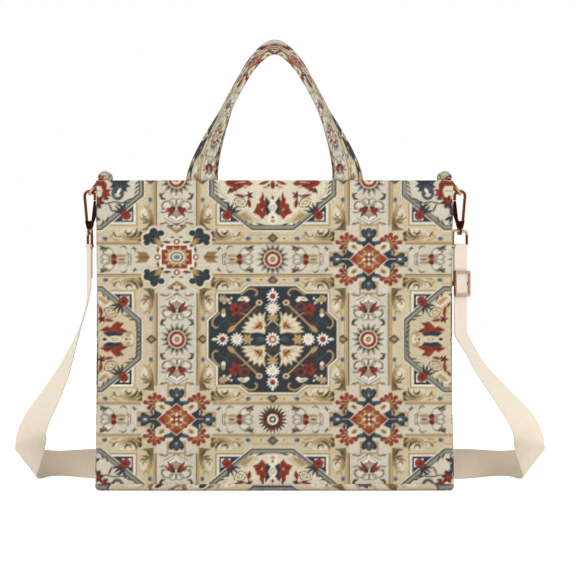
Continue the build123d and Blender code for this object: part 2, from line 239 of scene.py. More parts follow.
@dataclass(frozen=True)
class Curl(Placed):
    """Hook that tightens and thins out along its bend, by its middle, angles in degrees and width."""

    radius: float
    start: float
    sweep: float
    width: float
    dots: int = 14
    tighten: float = 0.35

    def distance(self, a: Array, b: Array) -> Array:
        """See `Shape.distance`."""
        near = np.full(a.shape, np.inf)
        for share in np.linspace(0, 1, self.dots):
            angle = radians(self.start + self.sweep * share)
            radius = self.radius * (1 - self.tighten * share)
            spot = np.hypot(a - self.x - radius * cos(angle), b - self.y - radius * sin(angle))
            near = np.minimum(near, spot - self.width / 2 * sin(pi * (0.12 + 0.8 * share)))
        return near


@dataclass(frozen=True)
class Edge(Shape):
    """Line along the edge of a shape."""

    shape: Shape
    width: float

    def distance(self, a: Array, b: Array) -> Array:
        """See `Shape.distance`."""
        return np.abs(self.shape.distance(a, b)) - self.width / 2


@dataclass(frozen=True)
class Grown(Shape):
    """A shape made larger all round, or smaller."""

    shape: Shape
    by: float

    def distance(self, a: Array, b: Array) -> Array:
        """See `Shape.distance`."""
        return self.shape.distance(a, b) - self.by


def petals(x: float, y: float, width: float, tips: Sequence[tuple]) -> list[Leaf]:
    """Leaves that fan out from a place and reach a little past their tips.

    Args:
        x, y: the place.
        width: of each leaf.
        tips: where the leaves end.

    Returns:
        The leaves.
    """
    return [
        Leaf((x + a) / 2, (y + b) / 2, 1.1 * hypot(a - x, b - y), width, degrees(atan2(b - y, a - x)))
        for a, b in tips
    ]


def rule(width: float, x0: float, y0: float, x1: float, y1: float) -> Stroke:
    """One straight line between two places."""
    return Stroke(width, ((x0, y0), (x1, y1)))


def octagon(top: float, run: float, side: float, drop: float) -> Patch:
    """One quarter of an eight-sided field, by its top edge and its side."""
    return Patch(((-9, -9), (-9, top), (run, top), (side, drop), (side, -9)))


def dyed(dye: Dye, shapes: Sequence[Shape]) -> list[tuple[Dye, Shape]]:
    """Several shapes in one colour."""
    return [(dye, shape) for shape in shapes]


class Motifs:
    """Repeats of the print, each one quarter of a figure as colours and shapes in the order they are laid."""

    (
        GROUND, BAND, CREAM, WHITE, TAN, GOLD, MOSS, OLIVE, GREY, PALE_GREY, NAVY,
        SLATE, SKY, RED, DARK_RED, RUST,
    ) = Dye

    WIDE_FIELD = octagon(50.4, 20.8, 63.2, 16)
    SIDE_FIELD = octagon(52.6, 21, 60, 19.8)
    STEPPED_FIELD = Patch(
        ((-9, -9), (-9, 52.8), (23.6, 52.8), (33, 45.3), (54.8, 45.3), (54.8, 27), (64.3, 18.5), (64.3, -9))
    )
    PALMETTE = Patch(
        (
            (7.8, 26.8), (10.2, 22.4), (13.4, 26.4), (14.8, 22.2), (19.2, 25), (18.8, 20.6), (23.8, 21.4),
            (22.2, 17.4), (27.8, 16.2), (24.6, 13.4), (30.2, 12), (26.4, 9.8), (31.2, 7.6), (21.6, 6.6),
            (16, 7.6), (12.7, 7.2), (8.2, 6), (6.8, 13), (9.1, 19.4),
        )
    )
    LOBES = (
        Disc(23, 25.4, 4.2), Disc(15.8, 24, 3.6, 3.2), Disc(30, 19.6, 3.8), Disc(30, 14.6, 3.4, 3),
        Disc(23, 19, 7.2, 5.6, 40),
    )
    FAN_ENDS = ((13.8, 20.6), (18.2, 23.4), (23, 25.4), (28.4, 22.6), (32.8, 17.4), (28.8, 11.6))
    FAN = petals(18.4, 14.6, 4.4, FAN_ENDS)
    FAN_TIPS = [Disc(0.96 * a, 0.97 * b, 2.3) for a, b in FAN_ENDS]

    COMPARTMENT = (
        (BAND, Box(0, 0, 76.5, 64.4)), (TAN, rule(2.6, 75, 0, 75, 45)), (OLIVE, rule(0.9, 76.6, 0, 76.6, 46)),
        (GOLD, rule(0.7, 72.6, 0, 72.6, 44)), (TAN, rule(1.8, 0, 63.2, 59, 63.2)),
        (GOLD, rule(1.2, 0, 64.8, 60, 64.8)),
        # scroll over the shoulder
        (CREAM, Disc(47, 54.6, 11, 5.4)), (TAN, Curl(46.4, 50.4, 11.4, 8, 166, 3.2)),
        (MOSS, Patch(((62.4, 62), (55.4, 61.2), (48, 61), (53.6, 59.4), (57.4, 55.6), (58.4, 51), (61, 56)))),
        (OLIVE, Curl(47.6, 51.2, 9.2, -12, 118, 3)),
        *dyed(GOLD, [Curl(46.8, 51.2, 7.6, 20, 150, 1.8), Curl(47.4, 51, 5.6, 30, 140, 1.2)]),
        *dyed(OLIVE, [
            Curl(47.8, 51.4, 3.4, 0, 210, 2.2), Leaf(60.8, 54.4, 6, 3.2, 80), Leaf(60, 60, 6, 2.2, 130),
        ]),
        (TAN, Leaf(57, 59.4, 8, 2.4, -26)), (GOLD, Stroke(1.2, ((39.4, 57.4), (35.6, 57), (32.4, 53.6)))),
        (OLIVE, Leaf(33.8, 54.6, 6, 1.8, 60)),
        *dyed(TAN, [Leaf(31.2, 56.6, 7, 2.2, -30), Leaf(34.6, 60.2, 9, 2, 12)]),
        # scroll beside the shoulder
        (CREAM, Disc(64.8, 35, 4.6, 6.4)),
        (MOSS, Patch(((73.6, 51.6), (61, 50.6), (66.6, 47.8), (69.4, 43), (70.2, 36), (69.4, 27),
                      (72.6, 35), (73.6, 43)))),
        *dyed(MOSS, petals(70.4, 42, 2.6, ((62.4, 43.8), (62.8, 38.6)))),
        (TAN, Curl(63.6, 37.4, 8.6, -66, 100, 2.4)), (GOLD, Curl(63.8, 37, 7.2, -60, 120, 1.4)),
        (TAN, Curl(64.6, 34.6, 4.2, -80, 230, 1.7)), (OLIVE, Curl(64.8, 34.8, 2.8, 60, 150, 1.3)),
        *dyed(TAN, petals(67.4, 29.6, 2.4, ((63.2, 25), (69.6, 24)))), (OLIVE, Leaf(69.4, 46.4, 7, 1.8, 128)),
        (GOLD, Leaf(62.4, 40, 8, 1.8, 40)),
        # blue flowers and diamonds
        (SKY, Disc(24.4, 59.4, 2.9, 2.1, 15)), (SLATE, Disc(25.2, 59, 1.6, 1.2)),
        (SKY, Disc(70.2, 20.6, 2, 2.7)), (SLATE, Disc(70, 19.9, 1.2, 1.5)), (TAN, rule(0.7, 0, 55.4, 22, 55.4)),
        (OLIVE, Leaf(11.5, 59.4, 2.6, 1.4)), (SLATE, Patch(((-6, 58.8), (0, 53.6), (6, 58.8), (0, 64)))),
        (GREY, Patch(((-4.2, 58.8), (0, 55.2), (4.2, 58.8), (0, 62.4)))),
        (GOLD, Patch(((-2.9, 58.8), (0, 56.4), (2.9, 58.8), (0, 61.2)))),
        (GREY, Patch(((64.6, 0), (70.5, -5), (76.4, 0), (70.5, 5)))),
        (GOLD, Patch(((67, 0), (70.5, -2.9), (74, 0), (70.5, 2.9)))), (TAN, Disc(70.5, 0, 1.4, 1)),
    )

    WIDE_CORNER = (
        (GOLD, Edge(Box(42.6, 35, 14.2, 10.8), 0.8)), (WHITE, Box(42.4, 34.4, 12.8, 10)),
        (NAVY, Patch(((53.5, 42.8), (53.5, 25), (31, 42.8)))),
    )
    SIDE_CORNER = (
        (GOLD, Edge(Box(40, 37, 14.2, 11.4), 0.8)), (WHITE, Box(39.8, 36.6, 12.8, 10.6)),
        (NAVY, Patch(((50.9, 45.4), (50.9, 27), (28.6, 45.4)))),
    )
    CORNER_FLOWER = (
        *dyed(NAVY, petals(43.4, 33.4, 2.5, ((44.6, 22.4), (39.4, 23.2), (34.4, 26.4), (31.6, 31)))),
        (WHITE, Box(46.8, 36.6, 4.7, 4.2)), (RED, Disc(45.6, 35.6, 5.3, 4.5, 40)),
        *dyed(DARK_RED, [Edge(Disc(45.6, 35.6, 5.1, 4.3, 40), 0.6), Star(45.6, 35.6, 5, 2.6, 0.8, 20)]),
    )
    RIM = (
        *dyed(GREY, [Leaf(57.4 - 0.6 * step, 3 + 4.6 * step, 7, 1.7, 132) for step in range(4)]),
        *dyed(GREY, [Leaf(51 - 4.4 * step, 19.6 + 3.6 * step, 8, 1.8, 172) for step in range(2)]),
        *dyed(GREY, [Leaf(27 - 4.6 * step, 40.2 + 3.0 * step, 8, 1.8, 108) for step in range(2)]),
        (GREY, Leaf(12, 45.2, 10, 1.9, 164)),
    )

    LEAFY = (
        (BAND, Patch(((36, 33.4), (23, 44.2), (12.6, 41.8), (26.6, 30.4)))),
        *dyed(TAN, [
            Patch(((34, 35), (27, 40.6), (19.6, 40.8), (27.6, 33))), Stroke(0.8, ((54, 3), (52.6, 13), (46, 19))),
        ]),
        (GOLD, rule(0.6, 31, 35, 20, 43)), *dyed(WHITE, [Disc(0, 39.4, 5.2, 6.2), Disc(0, 27, 3.6, 9)]),
        (RED, Patch(((48.5, 2.2), (38, -2), (28, -2), (19.5, 4.2), (23, 6.6), (28.6, 5.8), (32, 8.8),
                     (37.2, 11.4), (41.6, 14), (43.4, 10.8), (40, 7.8), (45.4, 6.4)))),
        *dyed(DARK_RED, [Leaf(35, 5.4, 22, 1.8, 162), Leaf(38, 10, 8, 1.4, 130)]),
        (CREAM, rule(0.5, 27, 2.2, 37, 3.4)), (NAVY, Leaf(43.2, 11.2, 8, 2.8, 64)),
        (RED, Disc(0, 5.4, 2.5, 4.4)), (DARK_RED, Leaf(0, 5.6, 6, 1.2, 90)), (RED, Leaf(8.5, 3.4, 12, 3.2, 20)),
        (DARK_RED, Leaf(10.4, 3.2, 8, 1, 20)), (NAVY, Disc(4.2, 5.8, 1.3, 1.6)),
        (TAN, Disc(7.4, 7.8, 2.6, 1.3)), (RED, Disc(0, 18.3, 1.5, 2.1)),
        (NAVY, Patch(((7, 17), (2.2, 23), (4.8, 27.4), (1.8, 32.8), (6, 36.4), (9, 28)))),
        (RED, Patch(((10.6, 12), (8.4, 16), (8.8, 20), (6.2, 24), (7.8, 29), (6.4, 35), (10.6, 40.4), (14.2, 36),
                     (20.2, 33.6), (17, 29), (16.4, 25), (12.8, 23.4), (13.4, 19.4), (11.2, 17)))),
        *dyed(DARK_RED, [Stroke(0.9, ((10.6, 16), (10.4, 27), (12.4, 34))), Leaf(14.4, 31.4, 8, 1.6, -30)]),
        *dyed(TAN, [Disc(10.6, 30.4, 1.1, 1.4), Edge(Disc(0, 28.4, 1.9, 2.4), 0.9)]),
        (RED, Disc(0, 38, 1.5, 1.3)), (TAN, Disc(0, 41.8, 2.4, 1.8)), (RED, Leaf(23.6, 24, 10, 4.4, 100)),
        (DARK_RED, Leaf(24.2, 24, 7, 1.4, 100)), (RED, Leaf(33, 16.2, 13, 3.2, 170)),
        *dyed(DARK_RED, [Leaf(33, 16.8, 9, 1.2, 170), Star(23.4, 15.8, 5, 4.6, 1.6)]),
        *dyed(GREY, [rule(0.7, 23.4, 16, 21.8, 20), Edge(Leaf(32.4, 23.2, 14, 9.5, 150), 1.1)]),
        (TAN, Leaf(32.4, 23.2, 9, 4.4, 150)), (CREAM, Disc(32.4, 23.2, 1.6, 1)),
    )
    SIDE = (
        (CREAM, Patch(((31, 35), (19, 45.4), (10.4, 42), (24, 31.6)))),
        *dyed(TAN, [Patch(((28, 36.6), (20.6, 42.4), (15, 42), (24, 34))), Disc(49, 0, 5, 8)]),
        (CREAM, Disc(50.6, 0, 2.4, 5)), (NAVY, Patch(((43, 7), (40.4, 3.2), (26, 2.8), (21, 6.6), (30, 9)))),
        (RED, Patch(((47.8, 7), (43, 10.4), (39.6, 11.6), (41.4, 16), (35.4, 18), (31.4, 14.4), (29, 11.4),
                     (25.8, 13.4), (22.4, 11.4), (17.8, 8.6), (25, 7), (32, 8), (40, 6)))),
        *dyed(DARK_RED, [Stroke(0.8, ((45, 7.6), (36, 10), (37.6, 15.4))), Leaf(26, 9.6, 11, 1.8, -8)]),
        (NAVY, Leaf(41, 15.2, 5, 1.8, 50)), (CREAM, Leaf(33.6, 0, 15, 6.6)), (TAN, Leaf(33.6, 0, 9, 3.4)),
        *dyed(CREAM, [Disc(33.6, 0, 1.8, 0.8), Disc(46, 0, 4, 2.4)]), (DARK_RED, Disc(45.2, 0, 1.5, 1.2)),
        (GOLD, Disc(48.8, 0, 1.3, 1.1)), (CREAM, Leaf(23.4, 0, 9, 5.6)), (DARK_RED, Leaf(23.2, 0, 5.4, 3.4)),
        (NAVY, Disc(12.8, 0, 0.9)), (RED, Leaf(27.4, 19, 11, 3.4, 172)),
        (DARK_RED, Star(20, 20.2, 5, 4.8, 1.8, 30)),
        *dyed(RED, [Leaf(19.4, 28, 11, 4.2, 98), Leaf(15.2, 34.4, 8, 3, 130)]),
        (GREY, Edge(Leaf(29, 26.8, 14, 9.6, 146), 1.1)), (TAN, Leaf(29, 26.8, 9, 4.4, 146)),
        (CREAM, Disc(29, 26.8, 1.6, 1)),
    )
    FLOWER = (
        (NAVY, Patch(((51, 0), (47, 4), (50.4, 7), (46, 8.6), (47.6, 12.6), (42.4, 11.4), (41.6, 16), (37.2, 13.6),
                      (33.6, 15), (34.4, 9.6), (29.4, 8), (32.4, 4.6), (28, 0), (30, -2), (51, -2)))),
        (SLATE, Edge(Disc(37.6, 13.6, 5, 5.6), 3)), (WHITE, Leaf(38.8, 11.6, 7, 3, 120)),
        *dyed(SLATE, [Curl(43, 4, 3.6, 0, 200, 1.4), rule(1.1, 33, 2, 38, 6)]),
        (RED, Patch(((8, 2), (24, 0.6), (27, 5), (26.4, 9.6), (31.6, 10), (28.6, 13), (31.4, 16.6), (27.4, 17),
                     (28, 21), (23.6, 19.4), (20.6, 16), (8, 19)))),
        (CREAM, Patch(((8, 8), (13, 6.2), (20.6, 7), (22.4, 11), (20.8, 16.4), (14, 18.4), (8, 17)))),
        (PALE_GREY, rule(1.1, 10, 12, 20, 11.4)),
        *dyed(DARK_RED, [Stroke(1.1, ((12, 3.6), (23, 4), (25, 11), (25.6, 18))), Star(17.6, 22.4, 6, 7.4, 4.2, 10)]),
        (RED, Disc(17, 22, 2.6, 2)), (NAVY, Leaf(26, 19.6, 7, 2.2, -10)),
        *dyed(OLIVE, [Stroke(1.4, ((25, 24.4), (34, 22.4), (42, 23.4), (49, 20.4))), Leaf(30.4, 28.4, 11, 2, 66)]),
        (NAVY, Curl(18.6, 32, 8, 100, 200, 4.2)), (SLATE, Curl(19, 32, 5, 110, 190, 1.2)),
        (NAVY, Leaf(13, 33, 8, 5, 100)), *dyed(NAVY, petals(13, 37, 3.2, ((10, 44), (15.4, 43.6), (20.4, 41)))),
        (GREY, Leaf(40, 26.2, 10, 2.4, 22)),
    )
    MIDDLE = (
        (GOLD, Grown(STEPPED_FIELD, 3.2)), (BAND, Grown(STEPPED_FIELD, 2.6)),
        (WHITE, Grown(STEPPED_FIELD, 1.6)), (OLIVE, Grown(STEPPED_FIELD, 0.5)),
        (NAVY, Grown(STEPPED_FIELD, -0.2)),
        *dyed(SLATE, [
            Disc(12, 0, 4.4, 2.6), Leaf(30, 0, 18, 5), Curl(50, 12, 8, 100, 130, 1.4), Curl(22, 34, 9, 200, 130, 1.2),
            rule(0.7, 44, 22, 55, 14),
        ]),
        (TAN, rule(0.8, 18.9, 19.4, 31.4, 26.5)),
        *dyed(OLIVE, petals(36, 15.6, 4.2, ((46, 14), (45.6, 8.4), (40, 6.6)))),
        *dyed(OLIVE, [Leaf(15.6, 29.6, 10, 2.6, 160), Leaf(26, 17.6, 8, 2.2, -20)]),
        *dyed(TAN, [rule(1.5, 13.6, 36.6, 38.6, 12.4), Leaf(41.4, 10.4, 11, 4.6, -40)]),
        (TAN, Stroke(1.5, ((31.6, 45), (27.4, 48.8), (22.6, 50.8), (18, 50), (15.6, 47.4), (16, 44.6),
                           (17.6, 44)))),
        *dyed(TAN, [
            Stroke(1.5, ((53.6, 26.6), (58, 22.6), (60.8, 18.6), (60.6, 14), (58, 11.4), (55.4, 12))),
            Disc(13.6, 36.6, 3.4, 2.9),
        ]),
        (RUST, Disc(13.4, 36.6, 2.4, 2)), (WHITE, Edge(Disc(13.4, 36.6, 2.4, 2), 0.6)),
        *dyed(RED, [Disc(13.4, 36.6, 1), Edge(Leaf(28.2, 32.6, 11, 7, 6), 1.4)]),
        (DARK_RED, Edge(Disc(36.4, 22.4, 3.4, 3.8), 1.3)),
        *dyed(RED, [Star(37, 29.6, 5, 7.4, 3, 10), Leaf(40.6, 33, 8, 3, 60)]),
        (DARK_RED, Star(36.6, 29.8, 4, 3.6, 1.2, 50)), (CREAM, Leaf(30.4, 40.6, 11, 4.2, -16)),
        (WHITE, Disc(25.8, 39.4, 2.3, 1.9)), (TAN, Disc(30.8, 40.8, 2, 1, -16)),
        *dyed(CREAM, [Disc(43 + 3.0 * step, 36.6 + 2.4 * (step % 2), 1.2) for step in range(4)]),
        *dyed(CREAM, [Disc(41.6 + 2.8 * step, 41 - 1.6 * (step % 2), 1.1) for step in range(5)]),
        *dyed(TAN, [Star(50.4, 41, 6, 4.2, 2), Leaf(46.4, 38.4, 8, 2.2, 36)]),
        (WHITE, Disc(49.6, 24.8, 2, 2.6)), *dyed(TAN, [Disc(49.6, 28, 2.1, 2.6), Grown(PALMETTE, 0.7)]),
        (CREAM, PALMETTE),
        *dyed(TAN, petals(12, 12, 1.3, ((10.6, 21), (15.8, 21.4), (20.4, 17.6), (24, 12.2), (24.6, 8.6)))),
        (TAN, Patch(((10, 17.4), (15.4, 17), (19.4, 11.4), (13, 9.4), (9.6, 11)))),
        (RUST, Leaf(12.4, 14.4, 8, 2.6, 74)), (DARK_RED, Leaf(15.4, 12.4, 7, 2, 140)),
        (GREY, Patch(((-8, 12.8), (8, 12.8), (5.8, 7.2), (-5.8, 7.2)))),
        *dyed(OLIVE, [Stroke(0.6, ((step * 2.3, 8), (step * 2.7, 12.4))) for step in range(4)]),
        (CREAM, rule(0.8, 1.6, 18.6, 5.4, 14)), (TAN, Star(0, 21.8, 8, 6.4, 3.2, 22.5)),
        *dyed(WHITE, [Leaf(0, 26.2, 5, 2.2, 90), Star(0, 31.4, 12, 8, 4.4, 0, 0.78)]),
        (CREAM, Disc(0, 31.4, 2.4)), (WHITE, Star(0, 43, 11, 6.5, 3.8, 90)), (RED, Disc(0, 43, 2.9)),
        (WHITE, Disc(0, 49.4, 1.4, 1.7)), (TAN, Star(25.4, 0, 6, 5.8, 3.2)), (WHITE, Star(36, 0, 12, 7, 4)),
        (CREAM, Disc(36, 0, 2.2)), (WHITE, Star(50.6, 0, 11, 6.8, 3.8)), (RED, Disc(50.6, 0, 3)),
        *dyed(WHITE, [Leaf(58.6, 0, 6.5, 2.6), Star(0, 0, 12, 7.4, 5)]), (TAN, Disc(0, 0, 4.2)),
        (RUST, Disc(0, 0, 3.3)), (CREAM, Disc(0, 0, 2)),
    )

    STEPPED_ROSETTE = (
        *dyed(TAN, [Grown(lobe, 2.5) for lobe in LOBES]), *dyed(CREAM, [Grown(lobe, 1.9) for lobe in LOBES]),
        *dyed(NAVY, LOBES), *dyed(SLATE, [rule(0.7, 19, 20, 23, 24), rule(0.7, 21, 18, 28, 18.6)]),
        (GOLD, Leaf(18.6, 15.2, 11, 6, 44)), (TAN, Leaf(17.4, 14.4, 7, 3, 44)),
        *dyed(WHITE, [Box(0, 0, 17, 9.2), Box(0, 0, 12.2, 13.4)]),
        *dyed(RED, [Box(0, 0, 15.4, 7.6), Box(0, 0, 10.6, 11.8)]), (TAN, Star(0, 0, 12, 13.2, 9, 15, 0.78)),
        (CREAM, Star(0, 0, 12, 9.2, 7.4, 0, 0.78)), (GREY, Disc(0, 0, 6.6, 5.2)), (CREAM, Disc(0, 0, 5, 3.9)),
        (SKY, Disc(0, 0, 3.2, 2.3)), (RED, Disc(0, 15.3, 3.2, 2.9)), (WHITE, Disc(0, 15.3, 1.4)),
        (RED, Disc(19.2, 0, 3)), (WHITE, Disc(19.2, 0, 1.4)),
        *dyed(OLIVE, [Leaf(9.8, 14.9, 8.6, 3, 4), Leaf(18.9, 7.4, 6.6, 2.6, 96)]),
        (DARK_RED, Disc(14.6, 11.4, 1.8, 1.2, -30)), (OLIVE, Leaf(4.2, 20, 5, 1.7, 0)),
        (GOLD, Patch(((26.6, 0), (30.6, 5.4), (41.4, 5.6), (38, 1.8), (42.4, 0), (38, -2)))),
        (OLIVE, rule(0.7, 28, 0, 37, 0.6)), (GOLD, Patch(((0, 23.4), (11, 31), (8.6, 31.4), (0, 27.6)))),
        (GREY, Patch(((4, 29.4), (10, 32.2), (3, 32.6)))), (RUST, Disc(0, 33, 2.4, 1.4)),
        (TAN, Disc(0, 27.6, 1.3, 2)),
    )
    STAR_ROSETTE = (
        *dyed(TAN, [Edge(Box(0, 28.6, 8.6, 5.4), 2.2), Edge(Box(32.6, 0, 6.2, 6.8), 2.2)]),
        *dyed(NAVY, [
            Disc(0, 28, 3.4, 3.6), Disc(4.9, 26.6, 2.9, 4, -14), Disc(0, 24.6, 6.6, 4.6),
            Patch(((-3, 21), (3, 21), (4, 18), (14.6, 19), (11.6, 15.2), (6.4, 14), (5.6, 11), (0, 14))),
            Disc(36.2, 0, 3.4, 3), Disc(33, 4, 3.6, 2.6, 16), Disc(30.8, 0, 4.6, 5.4),
        ]),
        (NAVY, Patch(((27.4, -2), (27.4, 3), (24.8, 4.2), (26.6, 8), (23, 12.6), (20.4, 8.8), (14.6, 5.8),
                      (18, 0)))),
        *dyed(SLATE, [
            Disc(0, 26.2, 4.8, 3.8), Leaf(9.4, 17, 9, 2.2, 14), Disc(32.4, 0, 4.2, 3.6),
            Leaf(23.6, 8, 7, 2.4, 70),
        ]),
        (NAVY, rule(1.1, 2.2, 24, 2.6, 28)), (TAN, Disc(0, 24.2, 1.2)),
        *dyed(SLATE, [rule(0.8, 29.6, 3, 35, 0.4), rule(0.7, 7, 17.4, 11.6, 18.8)]),
        *dyed(CREAM, [rule(0.5, 21, 0, 27, 0), rule(0.5, 23.6, 5, 23, 9.4)]), (WHITE, Disc(31.4, 0, 1.7, 0.8)),
        *dyed(RED, FAN), *dyed(RED, FAN_TIPS), (RED, Disc(21.4, 18, 5.6, 4.4, 44)),
        *dyed(TAN, [Leaf(leaf.x, leaf.y, 0.42 * leaf.length, 1.3, leaf.turn) for leaf in FAN[1:6]]),
        (DARK_RED, Leaf(27, 12.6, 7, 1.8, -30)), (CREAM, Disc(15.4, 12.6, 6.4, 4.2, 34)),
        (TAN, Disc(14.6, 12, 3.6, 2.4, 34)), (OLIVE, Leaf(15, 12.6, 4.4, 1.8, 34)),
        (CREAM, Patch(((20.2, 0), (0, 16.4), (-9, 9), (-9, -9), (9, -9)))),
        (RUST, Patch(((19, 0), (0, 15.4), (-9, 9), (-9, -9), (9, -9)))),
        *dyed(RED, [
            Patch(((19, 0), (12, 5.8), (12.6, 0), (12, -5))), Patch(((0, 15.4), (7, 9.8), (0, 10.2), (-7, 9.8))),
            Disc(9.4, 7.4, 1.5),
        ]),
        (TAN, Star(0, 0, 8, 12, 2.4, 22.5, 0.82)), (RUST, Star(0, 0, 8, 9.4, 4, 0, 0.82)),
        (CREAM, Star(0, 0, 8, 7.6, 1.6, 45, 0.82)), *dyed(RED, [Star(0, 0, 4, 6, 2.2, 45), Disc(0, 0, 2.9)]),
        (WHITE, Disc(0, 0, 1.1)),
    )

    LANE_PETALS = (Disc(9.2, 56.8, 5.6, 3.9, -24), Disc(3.4, 60.2, 3.7, 3.1))
    SIDE_PETALS = (Disc(71.4, 6.8, 6.2, 4, 40), Disc(74.4, 2.4, 4.4, 2.6))

    UPRIGHT_LANE = (
        (WHITE, Patch(((0, 38), (11, 44.4), (8, 50), (0, 52), (-9, 45)))),
        (PALE_GREY, rule(1.3, 0, 37.4, 11.6, 43.8)), (GREY, rule(1.1, 0, 36.4, 2.6, 38.2)),
        (PALE_GREY, rule(1.1, 1, 40.6, 7.8, 44.8)), *dyed(CREAM, LANE_PETALS),
        *dyed(PALE_GREY, [Edge(petal, 1.3) for petal in LANE_PETALS]),
        *dyed(GREY, [Curl(9.2, 56.8, 5.6, -30, 120, 1.3), Leaf(0, 60, 7, 1.3, 90)]),
        (PALE_GREY, Patch(((-5, 46.2), (0, 44.6), (5.8, 46.2), (3.6, 51), (0, 53)))),
        (TAN, Disc(0, 48.2, 2.2, 2.6)), (RED, Leaf(0, 44.6, 4, 1.4, 90)),
        *dyed(DARK_RED, petals(1, 55.4, 3.6, ((8.8, 45), (5, 50.6)))),
        *dyed(RED, petals(3.4, 52.8, 2.8, ((11.4, 50), (10, 53.4)))), (RED, Leaf(6.6, 48, 8, 1.5, -54)),
        (NAVY, Leaf(3.6, 54.8, 6, 2.4, -16)),
        *dyed(GREY, [Leaf(13.8, 49.6, 7, 1.3, 12), Leaf(13.2, 53.6, 5, 1.2, -30)]),
        (GOLD, Curl(11.6, 35.4, 4.4, 165, -150, 2)),
        *dyed(OLIVE, [
            Leaf(15.6, 38.2, 5, 1.5, -30), Leaf(15.4, 65.4, 8, 3, 70), Leaf(13.2, 63.4, 6, 2.2, 20),
            Leaf(14, 68.2, 5, 1.8, -20),
        ]),
    )
    LEVEL_LANE = (
        (GREY, Stroke(0.7, ((51, 5.6), (49.4, 4.6), (49, 0)))), (TAN, Leaf(60, 3, 15, 4.6, -6)),
        (CREAM, Leaf(60, 0.6, 12, 2.2)), (SLATE, Leaf(58.6, 0, 10, 2)), *dyed(CREAM, SIDE_PETALS),
        *dyed(PALE_GREY, [Edge(petal, 1.3) for petal in SIDE_PETALS]),
        *dyed(GREY, [Curl(71.4, 6.8, 6, 0, 120, 1.3), Curl(57.6, 0, 8.4, 120, 60, 1.2)]),
        (RUST, Disc(66.4, 1.2, 3, 2.2)), (DARK_RED, Disc(66.2, 3.4, 3, 2, 20)),
        (GREY, Curl(56.4, 9.4, 4.2, 30, 150, 1.4)),
        *dyed(OLIVE, [
            Leaf(77.4, 11.8, 8, 2.8, 24), Disc(79, 10, 1.5, 1.1), Leaf(74, 9.4, 5, 1.5, -40),
            Leaf(45.4, 10.6, 6, 2, 64), rule(0.8, 42.6, 10.4, 48, 11.2),
        ]),
    )
    BRIGHT_SUN = (
        (PALE_GREY, Star(0, 0, 16, 17.2, 10.8)), (OLIVE, Star(0, 0, 16, 13.4, 9)), (CREAM, Disc(0, 0, 9.2)),
        (RED, Disc(0, 0, 8.2)), (CREAM, Disc(0, 0, 5)), (TAN, Disc(0, 0, 2.8)),
        (GREY, Edge(Disc(0, 0, 2), 0.7)),
    )
    DARK_SUN = (
        (OLIVE, Star(0, 0, 22, 15.2, 9.2)), (DARK_RED, Disc(0, 0, 8.2)), (WHITE, Disc(0, 0, 5.4)),
        (GREY, Disc(0, 0, 3.6)), (WHITE, Disc(0, 0, 1.5)),
    )


